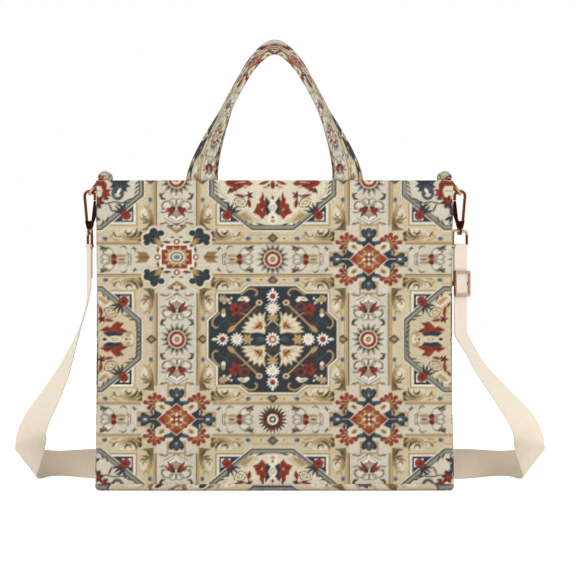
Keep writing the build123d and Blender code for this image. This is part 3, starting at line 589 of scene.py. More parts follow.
@dataclass(frozen=True)
class RugPrint:
    """All-over print in the manner of a traditional compartment rug.

    Attributes:
        pitch_x, pitch_z: distance between compartments.
        middle_x, middle_z: middle of the navy compartment on the front.
        soft: width over which one colour runs into the next.
        lane_x, lane_z: half the width of the lanes between compartments.
        upright_shift, level_shift: how far the lanes' flowers lie towards the rosettes.
        rosette_x, rosette_z: half the size of the rosettes.
        stepped_lift: how far the stepped rosette lies above its lane's middle.
        rim: width of the pale rim of a field.
        side_corner: how far the corner flowers of the side fields lie towards the middle, and up.
    """

    pitch_x: float = 193.0
    pitch_z: float = 160.0
    middle_x: float = -1.8
    middle_z: float = 151.8
    soft: float = 0.9
    lane_x: float = 20.0
    lane_z: float = 16.0
    upright_shift: float = 2.6
    level_shift: float = 3.0
    rosette_x: float = 46.0
    rosette_z: float = 40.0
    stepped_lift: float = 2.2
    rim: float = 4.6
    side_corner: tuple = (3.2, -2.2)

    def paint(self, x: Array, z: Array) -> Array:
        """Colours places on the cloth.

        Args:
            x, z: places across and up the cloth.

        Returns:
            Linear colours, one a row.
        """
        sheet = np.empty((len(x), 3))
        sheet[:] = linear(Dye.GROUND.value)
        column, row, u, v = self.folded(x, z, 0.0)
        odd_column, odd_row = column % 2 == 1, row % 2 == 1
        wide, side, flower = ~odd_column & odd_row, odd_column & ~odd_row, odd_column & odd_row
        self.stamp(sheet, Motifs.COMPARTMENT, u < self.pitch_x, u, v)
        for chosen, field_shape, corner, inner, fill in (
            (wide, Motifs.WIDE_FIELD, Motifs.WIDE_CORNER, Motifs.LEAFY, Dye.CREAM),
            (side, Motifs.SIDE_FIELD, Motifs.SIDE_CORNER, Motifs.SIDE, Dye.BAND),
            (flower, Motifs.WIDE_FIELD, Motifs.WIDE_CORNER, Motifs.FLOWER, Dye.GROUND),
        ):
            self.stamp(sheet, corner + self.field(field_shape, fill) + inner, chosen, u, v)
            across, up = (0.0, 0.0) if corner is Motifs.WIDE_CORNER else self.side_corner
            self.stamp(sheet, Motifs.CORNER_FLOWER, chosen, u + across, v + up)
        self.stamp(sheet, Motifs.MIDDLE, ~odd_column & ~odd_row, u, v)
        column, row, p, q = self.folded(x, z, 0.5)
        self.stamp(sheet, Motifs.UPRIGHT_LANE, p < self.lane_x, p, q + self.upright_shift)
        self.stamp(sheet, Motifs.LEVEL_LANE, q < self.lane_z, p + self.level_shift, q)
        stepped = (column % 2 == 1) & (row % 2 == 0)
        near = (p < self.rosette_x) & (q < self.rosette_z)
        lifted = self.folded(x, z - self.stepped_lift, 0.5)[3]
        self.stamp(sheet, Motifs.STEPPED_ROSETTE, stepped & near, p, lifted)
        self.stamp(sheet, Motifs.STAR_ROSETTE, ~stepped & near, p, q)
        low, level = row % 2 == 1, q < self.lane_z
        self.stamp(sheet, Motifs.BRIGHT_SUN, p < self.lane_x, p, self.pitch_z / 2 - q)
        self.stamp(sheet, Motifs.BRIGHT_SUN, level & ~low, self.pitch_x / 2 - p, q)
        self.stamp(sheet, Motifs.DARK_SUN, level & low, self.pitch_x / 2 - p, q)
        return sheet

    def field(self, shape: Shape, fill: Dye) -> tuple:
        """Layers of a pale field with its dark lines and its rim.

        Args:
            shape: the field's edge.
            fill: colour inside the rim.

        Returns:
            Dyes and shapes, in order.
        """
        inner = ((Dye.GREY, 0.9 - self.rim), (fill, -self.rim))
        layers = ((Dye.WHITE, 1.5), (Dye.GREY, 0.7), (Dye.PALE_GREY, -0.9), *inner)
        return tuple((dye, Grown(shape, by)) for dye, by in layers) + Motifs.RIM

    def folded(self, x: Array, z: Array, shift: float) -> tuple[Array, ...]:
        """Finds the nearest middle of a repeat.

        Args:
            x, z: places across and up the cloth.
            shift: share of a pitch by which the middles are moved.

        Returns:
            The middle's column and row, and distances from it across and up.
        """
        a = (x - self.middle_x) / self.pitch_x - shift
        b = (z - self.middle_z) / self.pitch_z - shift
        column, row = np.round(a).astype(int), np.round(b).astype(int)
        return column, row, np.abs(a - column) * self.pitch_x, np.abs(b - row) * self.pitch_z

    def stamp(self, sheet: Array, marks: Sequence, chosen: Array, a: Array, b: Array) -> None:
        """Lays marks of colour.

        Args:
            sheet: linear colours of all the places, which are changed.
            marks: dyes and shapes, in order.
            chosen: True where the marks may lie.
            a, b: distances across and up from the middle of the motif.
        """
        rows = np.flatnonzero(chosen)
        a, b = a[rows], b[rows]
        for dye, shape in marks:
            cover = np.clip(0.5 - shape.distance(a, b) / self.soft, 0, 1)[:, None]
            sheet[rows] += (linear(dye.value) - sheet[rows]) * cover


class Signal:
    """A value in a node tree, on which Python's operators add Math nodes."""

    def __init__(self, tree: "NodeGraph", socket: bpy.types.NodeSocket) -> None:
        """Wraps a socket of a tree."""
        self.tree = tree
        self.socket = socket

    def math(self, operation: str, *others: "Amount") -> "Signal":
        """Adds one Math node.

        Args:
            operation: the node's operation.
            others: values that follow this one.

        Returns:
            The node's result.
        """
        inputs = {number: value for number, value in enumerate((self, *others))}
        return self.tree.value("ShaderNodeMath", {"operation": operation}, inputs)

    def __add__(self, other: "Amount") -> "Signal":
        """Sum."""
        return self.math("ADD", other)

    __radd__ = __add__

    def __mul__(self, other: "Amount") -> "Signal":
        """Product."""
        return self.math("MULTIPLY", other)

    __rmul__ = __mul__

    def __sub__(self, other: "Amount") -> "Signal":
        """Difference."""
        return self.math("SUBTRACT", other)

    def __rsub__(self, other: float) -> "Signal":
        """A number less this value."""
        return (self * -1.0) + other

    def sine(self) -> "Signal":
        """Sine of the value in radians."""
        return self.math("SINE")


Amount = Union[Signal, float]


class NodeGraph:
    """Nodes of a material or of the world."""

    def __init__(self, tree: bpy.types.NodeTree) -> None:
        """Takes an emptied tree."""
        self.nodes, self.links = tree.nodes, tree.links
        self.nodes.clear()

    def node(self, kind: str, settings: dict, inputs: dict) -> bpy.types.Node:
        """Adds a node.

        Args:
            kind: the node's type.
            settings: properties, set before the sockets.
            inputs: values or links for its sockets, by name or number.

        Returns:
            The node.
        """
        node = self.nodes.new(kind)
        for name, value in settings.items():
            setattr(node, name, value)
        for name, value in inputs.items():
            self.feed(node.inputs[name], value)
        return node

    def feed(self, socket: bpy.types.NodeSocket, value: object) -> None:
        """Gives a socket a value or a link.

        Args:
            socket: of a node.
            value: number, colour, socket or signal.
        """
        value = value.socket if isinstance(value, Signal) else value
        if isinstance(value, bpy.types.NodeSocket):
            self.links.new(value, socket)
        else:
            socket.default_value = value

    def value(self, kind: str, settings: dict, inputs: dict, output: Union[int, str] = 0) -> Signal:
        """Adds a node and wraps one of its outputs, as `node` does."""
        return Signal(self, self.node(kind, settings, inputs).outputs[output])

    def seen(self, lit: bpy.types.NodeSocket, shown: bpy.types.NodeSocket) -> bpy.types.NodeSocket:
        """Mixes in what the camera and the reflections see.

        Args:
            lit: shader that lights the object.
            shown: shader that is seen.

        Returns:
            The mixed shader.
        """
        path = self.node("ShaderNodeLightPath", {}, {})
        ray = Signal(self, path.outputs["Is Camera Ray"])
        for name in ("Is Glossy Ray", "Is Transmission Ray"):
            ray = ray.math("MAXIMUM", Signal(self, path.outputs[name]))
        return self.node("ShaderNodeMixShader", {}, {0: ray, 1: lit, 2: shown}).outputs[0]


class FinishTree(NodeGraph):
    """Node tree of one material, with a Principled shader at its end."""

    def __init__(self, name: str) -> None:
        """Makes the material.

        Args:
            name: of the material.
        """
        self.material = bpy.data.materials.new(name)
        self.material.use_nodes = True
        super().__init__(self.material.node_tree)
        self.shader = self.node("ShaderNodeBsdfPrincipled", {}, {})
        self.output = self.node("ShaderNodeOutputMaterial", {}, {0: self.shader.outputs[0]})

    def attribute(self, name: str, output: str) -> Signal:
        """One output of a mesh attribute."""
        return self.value("ShaderNodeAttribute", {"attribute_name": name}, {}, output)

    def noise(self, place: Signal, scale: float, detail: float = 3.0) -> Signal:
        """Smooth noise about one half."""
        inputs = {"Vector": place, "Scale": scale, "Detail": detail}
        return self.value("ShaderNodeTexNoise", {}, inputs, 0)

    def scaled(self, colour: Signal, amount: Signal) -> Signal:
        """A colour made lighter or darker by an amount."""
        return self.value("ShaderNodeVectorMath", {"operation": "SCALE"}, {0: colour, "Scale": amount})

    def mixed(self, first: object, second: object, factor: Amount) -> Signal:
        """A colour between two others."""
        inputs = {0: factor, 6: first, 7: second}
        return self.value("ShaderNodeMix", {"data_type": "RGBA"}, inputs, 2)

    def bump(self, height: Signal, strength: float, distance: float) -> Signal:
        """A normal from a height."""
        inputs = {"Height": height, "Strength": strength, "Distance": distance}
        return self.value("ShaderNodeBump", {}, inputs)

    def shade(self, sockets: dict) -> Material:
        """Feeds the shader's sockets.

        Args:
            sockets: values or links by the sockets' names.

        Returns:
            The material.
        """
        for name, value in sockets.items():
            self.feed(self.shader.inputs[name], value)
        return self.material


def opaque(colour: Sequence[float]) -> tuple[float, ...]:
    """Linear colour with an alpha of one, from screen values."""
    return (*(float(part) for part in linear(colour)), 1.0)


@dataclass(frozen=True)
class WovenFinish:
    """Plain woven cloth, printed or dyed in one colour.

    Attributes:
        name: the material's name.
        dye: screen colour, or None where the cloth carries a print.
        thread: distance between threads.
        grain: share by which threads lighten and darken the colour.
        mottle: share by which large soft patches do.
        roughness, sheen, gloss: of the shader.
        fade, fade_scale: share of the colour left in duller places, and their noise.
        relief: height of the threads in metres.
        slub_scale, wear_scale, cloud_scale: noise of thick threads, of rubbed places and of large soft patches.
    """

    name: str
    dye: Union[Colour, None] = None
    thread: float = 1.4
    grain: float = 0.22
    mottle: float = 0.15
    roughness: float = 0.86
    sheen: float = 0.08
    gloss: float = 0.25
    fade: float = 0.9
    fade_scale: float = 0.2
    relief: float = 0.00025
    slub_scale: float = 0.9
    wear_scale: float = 0.22
    cloud_scale: float = 0.03

    def material(self) -> Material:
        """Builds the material.

        Returns:
            The material.
        """
        tree = FinishTree(self.name)
        place = tree.attribute("cloth", "Vector")
        parts = tree.node("ShaderNodeSeparateXYZ", {}, {0: place})
        across, along = Signal(tree, parts.outputs[0]), Signal(tree, parts.outputs[1])
        turn = 2 * pi / self.thread
        weave = (across * turn).sine() * (along * turn).sine()
        slub = tree.noise(place, self.slub_scale, 4.0) - 0.5
        wear = tree.noise(place, self.wear_scale, 4.0) - 0.5
        cloud = tree.noise(place, self.cloud_scale) - 0.5
        level = 1.0 + weave * self.grain + slub * (self.grain * 3.0) + (cloud + wear) * (self.mottle * 2.0)
        if self.dye is None:
            colour = tree.attribute("print", "Color")
        else:
            flat = opaque(self.dye)
            dull = (*(self.fade * part for part in flat[:3]), 1.0)
            colour = tree.mixed(flat, dull, tree.noise(place, self.fade_scale))
        return tree.shade(
            {
                "Base Color": tree.scaled(colour, level),
                "Roughness": self.roughness + slub * 0.1,
                "Sheen Weight": self.sheen,
                "Specular IOR Level": self.gloss,
                "Normal": tree.bump(weave * 0.6 + slub, 0.6, self.relief),
            }
        )


@dataclass(frozen=True)
class MetalFinish:
    """Polished plated metal.

    Attributes:
        name: the material's name.
        colour: screen colour of the plating.
        worn: screen colour of its duller patches.
        roughness: of the polished parts.
        patch_scale, scratch_scale: noise of the duller patches and of fine scratches.
    """

    name: str
    colour: Colour = (204, 152, 126)
    worn: Colour = (176, 122, 98)
    roughness: float = 0.16
    patch_scale: float = 60.0
    scratch_scale: float = 900.0

    def material(self) -> Material:
        """Builds the material.

        Returns:
            The material.
        """
        tree = FinishTree(self.name)
        place = tree.value("ShaderNodeTexCoord", {}, {}, "Object")
        patch = tree.noise(place, self.patch_scale, 4.0)
        scratch = tree.noise(place, self.scratch_scale, 2.0) - 0.5
        return tree.shade(
            {
                "Base Color": tree.mixed(opaque(self.colour), opaque(self.worn), patch),
                "Metallic": 1.0,
                "Roughness": self.roughness + (patch - 0.5) * 0.12,
                "Normal": tree.bump(scratch, 0.08, 0.0001),
            }
        )


@dataclass(frozen=True)
class BoardFinish:
    """Grey pressed board of the stiffener.

    Attributes:
        name: the material's name.
        colour: screen colour of the board.
        fibre_scale: noise of its fibres.
    """

    name: str
    colour: Colour = (150, 142, 130)
    fibre_scale: float = 700.0

    def material(self) -> Material:
        """Builds the material.

        Returns:
            The material.
        """
        tree = FinishTree(self.name)
        place = tree.value("ShaderNodeTexCoord", {}, {}, "Object")
        fibre = tree.noise(place, self.fibre_scale, 5.0)
        pale = tuple(1.2 * part for part in self.colour)
        return tree.shade(
            {
                "Base Color": tree.mixed(opaque(self.colour), opaque(pale), fibre),
                "Roughness": 0.8 + fibre * 0.15,
                "Normal": tree.bump(fibre, 0.3, 0.0002),
            }
        )


@dataclass
class ClothGrid:
    """A grid of points in millimetres, with the places on the cloth that they were cut from.

    Attributes:
        points: rows, columns and x, y, z. Rows crossed with columns point into the cloth.
        cloth: rows, columns and the two lengths across and along the cloth.
        wrap: True where the last column joins the first.
        caps: True where the first and last rows are closed.
        hold: share of a step that lies between a closed end and the row before it.
    """

    points: Array
    cloth: Array
    wrap: bool = False
    caps: bool = False
    hold: float = 0.01

    def held(self, rows: Array) -> Array:
        """Adds a row close to each end, so that the shading runs straight up to it.

        Args:
            rows: of points or of places on the cloth.

        Returns:
            The rows with the two new ones.
        """
        first = rows[:1] + (rows[1:2] - rows[:1]) * self.hold
        last = rows[-1:] + (rows[-2:-1] - rows[-1:]) * self.hold
        return np.concatenate([rows[:1], first, rows[1:-1], last, rows[-1:]])

    def build(self, name: str, paint: Union[Callable, None] = None) -> Piece:
        """Makes the mesh object.

        Args:
            name: of the piece.
            paint: gives linear colours for two arrays of places on the cloth.

        Returns:
            The object, smooth shaded.
        """
        points, cloth = (self.held(rows) if self.caps else rows for rows in (self.points, self.cloth))
        rows, columns = points.shape[:2]
        index = np.arange(rows * columns).reshape(rows, columns)
        right = np.roll(index, -1, axis=1) if self.wrap else index[:, 1:]
        left = index if self.wrap else index[:, :-1]
        quads = np.stack([left[:-1], right[:-1], right[1:], left[1:]], axis=-1).reshape(-1, 4)
        faces = [list(face) for face in quads.tolist()]
        smooth = [True] * len(faces)
        if self.caps:
            faces += [index[0, ::-1].tolist(), index[-1].tolist()]
            smooth += [False, False]
        mesh = bpy.data.meshes.new(name)
        mesh.from_pydata((points.reshape(-1, 3) * METRES).tolist(), [], faces)
        mesh.polygons.foreach_set("use_smooth", smooth)
        flat = cloth.reshape(-1, 2)
        places = np.concatenate([flat, np.zeros((len(flat), 1))], axis=1)
        mesh.attributes.new("cloth", "FLOAT_VECTOR", "POINT").data.foreach_set("vector", places.ravel())
        if paint is not None:
            colours = np.ones((len(flat), 4))
            colours[:, :3] = paint(flat[:, 0], flat[:, 1])
            mesh.attributes.new("print", "FLOAT_COLOR", "POINT").data.foreach_set("color", colours.ravel())
        mesh.update()
        piece = bpy.data.objects.new(name, mesh)
        bpy.context.scene.collection.objects.link(piece)
        return piece


def dress(piece: Piece, material: Material) -> None:
    """Gives a piece its material and logs it.

    Args:
        piece: the mesh object.
        material: its finish.
    """
    piece.data.materials.append(material)
    LOG.info("built %s with %d faces", piece.name, len(piece.data.polygons))


def spline(knots: Array, places: Array, at: Array, ends: Union[Array, None] = None) -> Array:
    """Smooth curve through places.

    Args:
        knots: rising numbers, one a place.
        places: the places, one a row.
        at: numbers between the knots at which the curve is wanted.
        ends: directions at the two ends, or None where the ends run out straight.

    Returns:
        The places on the curve, one a row.
    """
    count = len(knots)
    step = np.diff(knots)
    slope = np.diff(places, axis=0) / step[:, None]
    matrix = np.zeros((count, count))
    goal = np.zeros_like(places, dtype=float)
    for row in range(1, count - 1):
        matrix[row, row - 1 : row + 2] = step[row], 2 * (step[row] + step[row - 1]), step[row - 1]
        goal[row] = 3 * (step[row] * slope[row - 1] + step[row - 1] * slope[row])
    if ends is None:
        matrix[0, :2] = matrix[-1, :-3:-1] = 2.0, 1.0
        goal[0], goal[-1] = 3 * slope[0], 3 * slope[-1]
    else:
        matrix[0, 0] = matrix[-1, -1] = 1.0
        goal[0], goal[-1] = ends
    speed = np.linalg.solve(matrix, goal)
    run = np.clip(np.searchsorted(knots, at, side="right") - 1, 0, count - 2)
    share = ((at - knots[run]) / step[run])[:, None]
    width = step[run][:, None]
    rest = 1 - share
    return (
        places[run] * (1 + 2 * share) * rest**2
        + places[run + 1] * (3 - 2 * share) * share**2
        + speed[run] * width * share * rest**2
        - speed[run + 1] * width * rest * share**2
    )


def run_lengths(places: Array) -> Array:
    """Length from the first place to each one."""
    return np.concatenate([[0.0], np.cumsum(np.linalg.norm(np.diff(places, axis=0), axis=1))])


def unit(vectors: Array) -> Array:
    """The same directions with a length of one."""
    return vectors / np.linalg.norm(vectors, axis=-1, keepdims=True)


class Wall(Enum):
    """Sides of the bag, counted round it from the front, with the direction that each looks in."""

    FRONT = (0, -1)
    RIGHT = (1, 0)
    BACK = (0, 1)
    LEFT = (-1, 0)


@dataclass(frozen=True)
class BagShape:
    """Outer form of the bag's body, as in the part's source.

    Attributes:
        width, height, base_depth, mouth_depth: the body's size.
        belly, seam_bow, belly_share: bulge of the front and back at its height and at the seams.
        pinch_base, pinch_mouth: how far the middle of a gusset is drawn in.
        side_draw: how far the side seams are drawn in at mid height.
        corner: radius of the upright corners.
        foot: radius of the lower edge.
    """

    width: float = 360.0
    height: float = 311.0
    base_depth: float = 110.0
    mouth_depth: float = 100.0
    belly: float = 5.0
    seam_bow: float = 1.0
    belly_share: float = 0.4
    pinch_base: float = 1.0
    pinch_mouth: float = 5.0
    side_draw: float = 1.6
    corner: float = 4.0
    foot: float = 5.0

    def half_depth(self, z: Array) -> Array:
        """Half the depth at a height."""
        return (self.base_depth + (self.mouth_depth - self.base_depth) * z / self.height) / 2

    def half_width(self, z: Array) -> Array:
        """Half the width at a height."""
        share = np.clip(z / self.height, 0, 1)
        return self.width / 2 - self.side_draw * np.sin(pi * share) ** 2

    def bow(self, z: Array) -> Array:
        """Bulge of the front at a height.

        Args:
            z: heights.

        Returns:
            Distances outwards.
        """
        share = np.clip(z / self.height, 0, 1)
        rise = np.where(share < self.belly_share, share / self.belly_share, (1 - share) / (1 - self.belly_share))
        return self.seam_bow + (self.belly - self.seam_bow) * np.sin(pi / 2 * rise)

    def pinch(self, z: Array) -> Array:
        """How far the middle of a gusset is drawn in at a height."""
        return self.pinch_base + (self.pinch_mouth - self.pinch_base) * z / self.height

    def reach(self, wall: Wall) -> float:
        """Length along a wall from its middle to its seam."""
        half = self.width / 2 if wall in (Wall.FRONT, Wall.BACK) else self.base_depth / 2
        return half - self.corner + self.corner * pi / 4

    def wall(self, wall: Wall, along: Array, z: Array, inset: Array) -> Array:
        """Points of one wall.

        Args:
            wall: which side.
            along: length from the wall's middle, counted anticlockwise seen from above.
            z: height.
            inset: distance inwards from the outer face.

        Returns:
            Points, with x, y and z in a last axis.
        """
        along, z, inset = np.broadcast_arrays(along, z, inset)
        broad = wall in (Wall.FRONT, Wall.BACK)
        half, depth = self.half_width(z), self.half_depth(z)
        flat_full = (self.width / 2 if broad else self.base_depth / 2) - self.corner
        flat = (half if broad else depth) - self.corner
        far = half if not broad else depth
        turn = np.clip((np.abs(along) - flat_full) / self.corner, 0, pi / 4)
        sideways = np.sign(along) * np.minimum(np.abs(along), flat_full) * flat / flat_full
        bulge = self.bow(z) if broad else -self.pinch(z)
        edge = flat + self.corner
        swell = bulge * (1 - (sideways / edge) ** 2) * (1 - turn / (pi / 4))
        radius = self.corner - inset
        a = sideways + np.sign(along) * radius * np.sin(turn)
        b = far - self.corner + radius * np.cos(turn) + swell
        out_x, out_y = wall.value
        return np.stack([-out_y * a + out_x * b, out_x * a + out_y * b, z], axis=-1)


@dataclass
class Body:
    """Printed canvas walls and base, and the lining.

    Attributes:
        front_step, side_step, lining_step: distance between points of the meshes.
        base_rim: height to which the base's cloth comes up the walls.
        seam_dip, groove_width, foot_groove: depth of the sewn grooves, and half their widths at the sides and base.
        hem_roll, hem_depth: half the thickness of the turned top edge, and how far it reaches down inside.
        ripple, waves: height of the soft unevenness of the cloth, and its lengths across and up with a phase.
        wave_fade: distance over which it dies out.
        lining_inset, lining_floor, lining_drop: distances of the lining from the face, the floor and the top.
        lining_slack, fold_height, fold_length: how far the lining hangs loose, and its soft folds.
        inner_margin: what the lining's flat size lacks of the body's width and depth.
        corner_share: share of the lining's flat sheet that is left when its corners are cut out.
        floor_rings, floor_eye: rings of points on a floor, and the share of its size that the last one keeps.
        rim_ring: how far down and inside the ring of points next to the base's rim lies.
    """

    shape: BagShape
    print: RugPrint
    front_step: float = 1.08
    side_step: float = 1.5
    lining_step: float = 4.0
    base_rim: float = 7.0
    seam_dip: float = 0.5
    hem_roll: float = 0.8
    hem_depth: float = 14.0
    ripple: float = 0.35
    waves: tuple = ((41.0, 67.0, 0.6), (23.0, -37.0, 0.0), (83.0, 29.0, 0.0))
    wave_fade: float = 40.0
    lining_inset: float = 2.6
    lining_floor: float = 4.0
    lining_drop: float = 4.0
    lining_slack: float = 0.6
    fold_height: float = 0.5
    fold_length: float = 19.0
    inner_margin: tuple = (5.0, 10.0)
    corner_share: float = 0.9
    groove_width: float = 0.9
    foot_groove: float = 1.2
    floor_rings: int = 30
    floor_eye: float = 0.002
    rim_ring: tuple = (0.7, 0.1)

    def rise(self, step: float) -> tuple[Array, Array]:
        """Heights and insets up a wall, over the hem and down inside.

        Args:
            step: distance between rows.

        Returns:
            Heights, insets.
        """
        top = self.shape.height - self.hem_roll
        straight = np.linspace(self.base_rim, top, int((top - self.base_rim) / step))
        turn = np.linspace(0, pi, 6)[1:]
        inner = np.linspace(top, top - self.hem_depth, 4)[1:]
        z = np.concatenate([straight, top + self.hem_roll * np.sin(turn), inner])
        inset = np.concatenate(
            [np.zeros(len(straight)), self.hem_roll * (1 - np.cos(turn)), np.full(len(inner), 2 * self.hem_roll)]
        )
        inset[: len(straight)] += self.seam_dip * np.exp(-(((straight - self.base_rim) / self.foot_groove) ** 2))
        return z, inset

    def wave(self, along: Array, z: Array) -> Array:
        """Soft unevenness of the cloth, which dies out at the base and the mouth.

        Args:
            along, z: places along a wall and up it.

        Returns:
            Distances inwards.
        """
        slow = sum(np.sin(along / across + z / up + phase) for across, up, phase in self.waves)
        high, low = (np.clip(rest / self.wave_fade, 0, 1) for rest in (self.shape.height - z, z))
        return self.ripple * slow / 2 * high * low

    def wall(self, wall: Wall, name: str, step: float, shift: float) -> Piece:
        """One printed wall.

        Args:
            wall: which side.
            name: of the piece, which is also its node.
            step: distance between points.
            shift: place on the print of the wall's middle.

        Returns:
            The piece.
        """
        reach = self.shape.reach(wall)
        along = np.linspace(-reach, reach, int(2 * reach / step))[None, :]
        z, inset = self.rise(step)
        z, inset = z[:, None], inset[:, None]
        groove = self.seam_dip * np.exp(-(((reach - np.abs(along)) / self.groove_width) ** 2))
        points = self.shape.wall(wall, along, z, inset + groove + self.wave(along, z))
        up = self.base_rim + run_lengths(np.concatenate([z, inset], axis=1))
        cloth = np.stack(np.broadcast_arrays(along + shift, up[:, None]), axis=-1)
        piece = ClothGrid(points, cloth).build(name + CLOTH, self.print.paint)
        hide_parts(name)
        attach(piece, "bag")
        2 * reach * METRES
        return piece

    def loop(self, step: float, z: Array, inset: Array) -> tuple[Array, Array]:
        """Closed rings round the bag.

        Args:
            step: distance between points.
            z: heights, one a ring.
            inset: distances inwards from the outer face, one a ring.

        Returns:
            Points of the rings and lengths round them.
        """
        parts, lengths, start = [], [], 0.0
        for wall in Wall:
            reach = self.shape.reach(wall)
            along = np.linspace(-reach, reach, int(2 * reach / step))[:-1]
            parts.append(self.shape.wall(wall, along[None, :], z[:, None], inset[:, None]))
            lengths.append(along + reach + start)
            start += 2 * reach
        return np.concatenate(parts, axis=1), np.concatenate(lengths)

    def closed_floor(self, rings: Array) -> Array:
        """Adds rings that shrink to the middle of a floor.

        Args:
            rings: of points, the last one round the floor.

        Returns:
            All the rings.
        """
        shares = np.linspace(1, 0, self.floor_rings + 1)[1:]
        shares[-1] = self.floor_eye
        last = rings[-1]
        middle = np.array([0.0, 0.0, last[0, 2]])
        return np.concatenate([rings, middle + shares[:, None, None] * (last - middle)], axis=0)

    def base(self) -> Piece:
        """Makes the printed base, with its rim turned up round the foot of the walls.

        Returns:
            The piece.
        """
        foot = self.shape.foot
        turn = np.linspace(0, pi / 2, 9)
        down, inside = self.rim_ring
        rim = np.array([self.base_rim, self.base_rim - down])
        z = np.concatenate([rim, foot * (1 - np.sin(turn))])
        inset = np.concatenate([[self.seam_dip, inside], foot * (1 - np.cos(turn))])
        rings, _ = self.loop(self.side_step, z, inset)
        points = self.closed_floor(rings)
        drop = np.zeros(points.shape[0])
        drop[: len(z)] = z
        cloth = points[..., :2] * (1 + drop / self.shape.base_depth)[:, None, None]
        piece = ClothGrid(points[::-1], cloth[::-1], wrap=True).build("base_panel" + CLOTH, self.print.paint)
        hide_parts("base_panel")
        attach(piece, "bag")
        width, depth = self.shape.width + 2 * self.base_rim, self.shape.base_depth + 2 * self.base_rim
        width * METRES
        depth * METRES
        return piece

    def lining(self) -> Piece:
        """Makes the thin cloth bag inside.

        Returns:
            The piece.
        """
        foot = self.shape.foot
        turn = np.linspace(0, pi / 2, 6)
        top = self.shape.height - self.lining_drop
        straight = np.linspace(top, self.lining_floor + foot, int(top / self.lining_step))
        z = np.concatenate([straight, self.lining_floor + foot * (1 - np.sin(turn[1:]))])
        inset = self.lining_inset + np.concatenate([np.zeros(len(straight)), foot * (1 - np.cos(turn[1:]))])
        rings, lengths = self.loop(self.lining_step, z, inset)
        fading = np.sin(pi * np.clip(z / self.shape.height, 0, 1))[:, None]
        folds = self.fold_height * np.sin(lengths / self.fold_length)[None, :] * fading
        inward = unit(rings * np.array([-1, -1, 0]) + 1e-9)
        points = self.closed_floor(rings + inward * (self.lining_slack + folds)[..., None])
        rows = np.arange(len(points)) * self.lining_step
        cloth = np.stack(np.broadcast_arrays(lengths[None, :], rows[:, None]), axis=-1)
        piece = ClothGrid(points, cloth, wrap=True).build("lining" + CLOTH)
        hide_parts("lining")
        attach(piece, "bag")
        inner_width, inner_depth = np.array([self.shape.width, self.shape.base_depth]) - self.inner_margin
        area = (2 * (inner_width + inner_depth) * self.shape.height + inner_width * inner_depth) * METRES**2
        length = (2 * self.shape.height + inner_depth) * METRES
        area / length / self.corner_share
        return piece

    def build(self, canvas: Material, lining: Material) -> None:
        """Makes and dresses every piece of the body.

        Args:
            canvas: finish of the printed pieces.
            lining: finish of the lining.
        """
        pitch = self.print.pitch_x
        walls = (
            (Wall.FRONT, "front_panel", self.front_step, 0.0),
            (Wall.BACK, "back_panel", self.side_step, 2 * pitch),
            (Wall.LEFT, "left_gusset", self.side_step, -pitch / 2),
            (Wall.RIGHT, "right_gusset", self.side_step, pitch / 2),
        )
        for wall, name, step, shift in walls:
            dress(self.wall(wall, name, step, shift), canvas)
        dress(self.base(), canvas)
        dress(self.lining(), lining)


@dataclass
class Band:
    """A flat band of cloth with rounded edges, swept along a path.

    Attributes:
        width, thickness: of the band.
        across: points across one face.
        crown: how much thicker the middle is.
        groove: depth of the sewn lines near the edges.
        groove_inset: distance of those lines from the edges.
        groove_width: half their width.
    """

    width: float
    thickness: float
    across: int = 12
    crown: float = 0.0
    groove: float = 0.0
    groove_inset: float = 3.0
    groove_width: float = 0.9

    def section(self) -> Array:
        """Draws the closed outline.

        Returns:
            Place across the band and height over its middle, one a row.
        """
        edge = self.thickness / 2
        flat = np.linspace(1, -1, self.across) * (self.width / 2 - edge)
        share = flat / (self.width / 2)
        lift = edge + self.crown * (1 - share**2)
        distance = np.abs(np.abs(flat) - (self.width / 2 - self.groove_inset))
        lift = lift - self.groove * np.exp(-((distance / self.groove_width) ** 2))
        turn = np.linspace(0, pi, 7)[1:-1]
        end = np.stack([-(self.width / 2 - edge) - edge * np.sin(turn), edge * np.cos(turn)], axis=-1)
        top = np.stack([flat, lift], axis=-1)
        return np.concatenate([top, end, -top, -end])

    def sweep(self, places: Array, widths: Array, tangents: Array) -> ClothGrid:
        """Carries the section along a path.

        Args:
            places: middle of the band, one a row.
            widths, tangents: directions across and along it.

        Returns:
            The closed band.
        """
        section = self.section()
        widths = unit(widths - tangents * np.sum(widths * tangents, axis=1, keepdims=True))
        normals = np.cross(tangents, widths)
        points = (
            places[:, None, :]
            + widths[:, None, :] * section[None, :, :1]
            + normals[:, None, :] * section[None, :, 1:]
        )
        around = run_lengths(np.concatenate([section, section[:1]]))[:-1]
        cloth = np.stack(np.broadcast_arrays(around[None, :], run_lengths(places)[:, None]), axis=-1)
        return ClothGrid(points, cloth, wrap=True, caps=True)


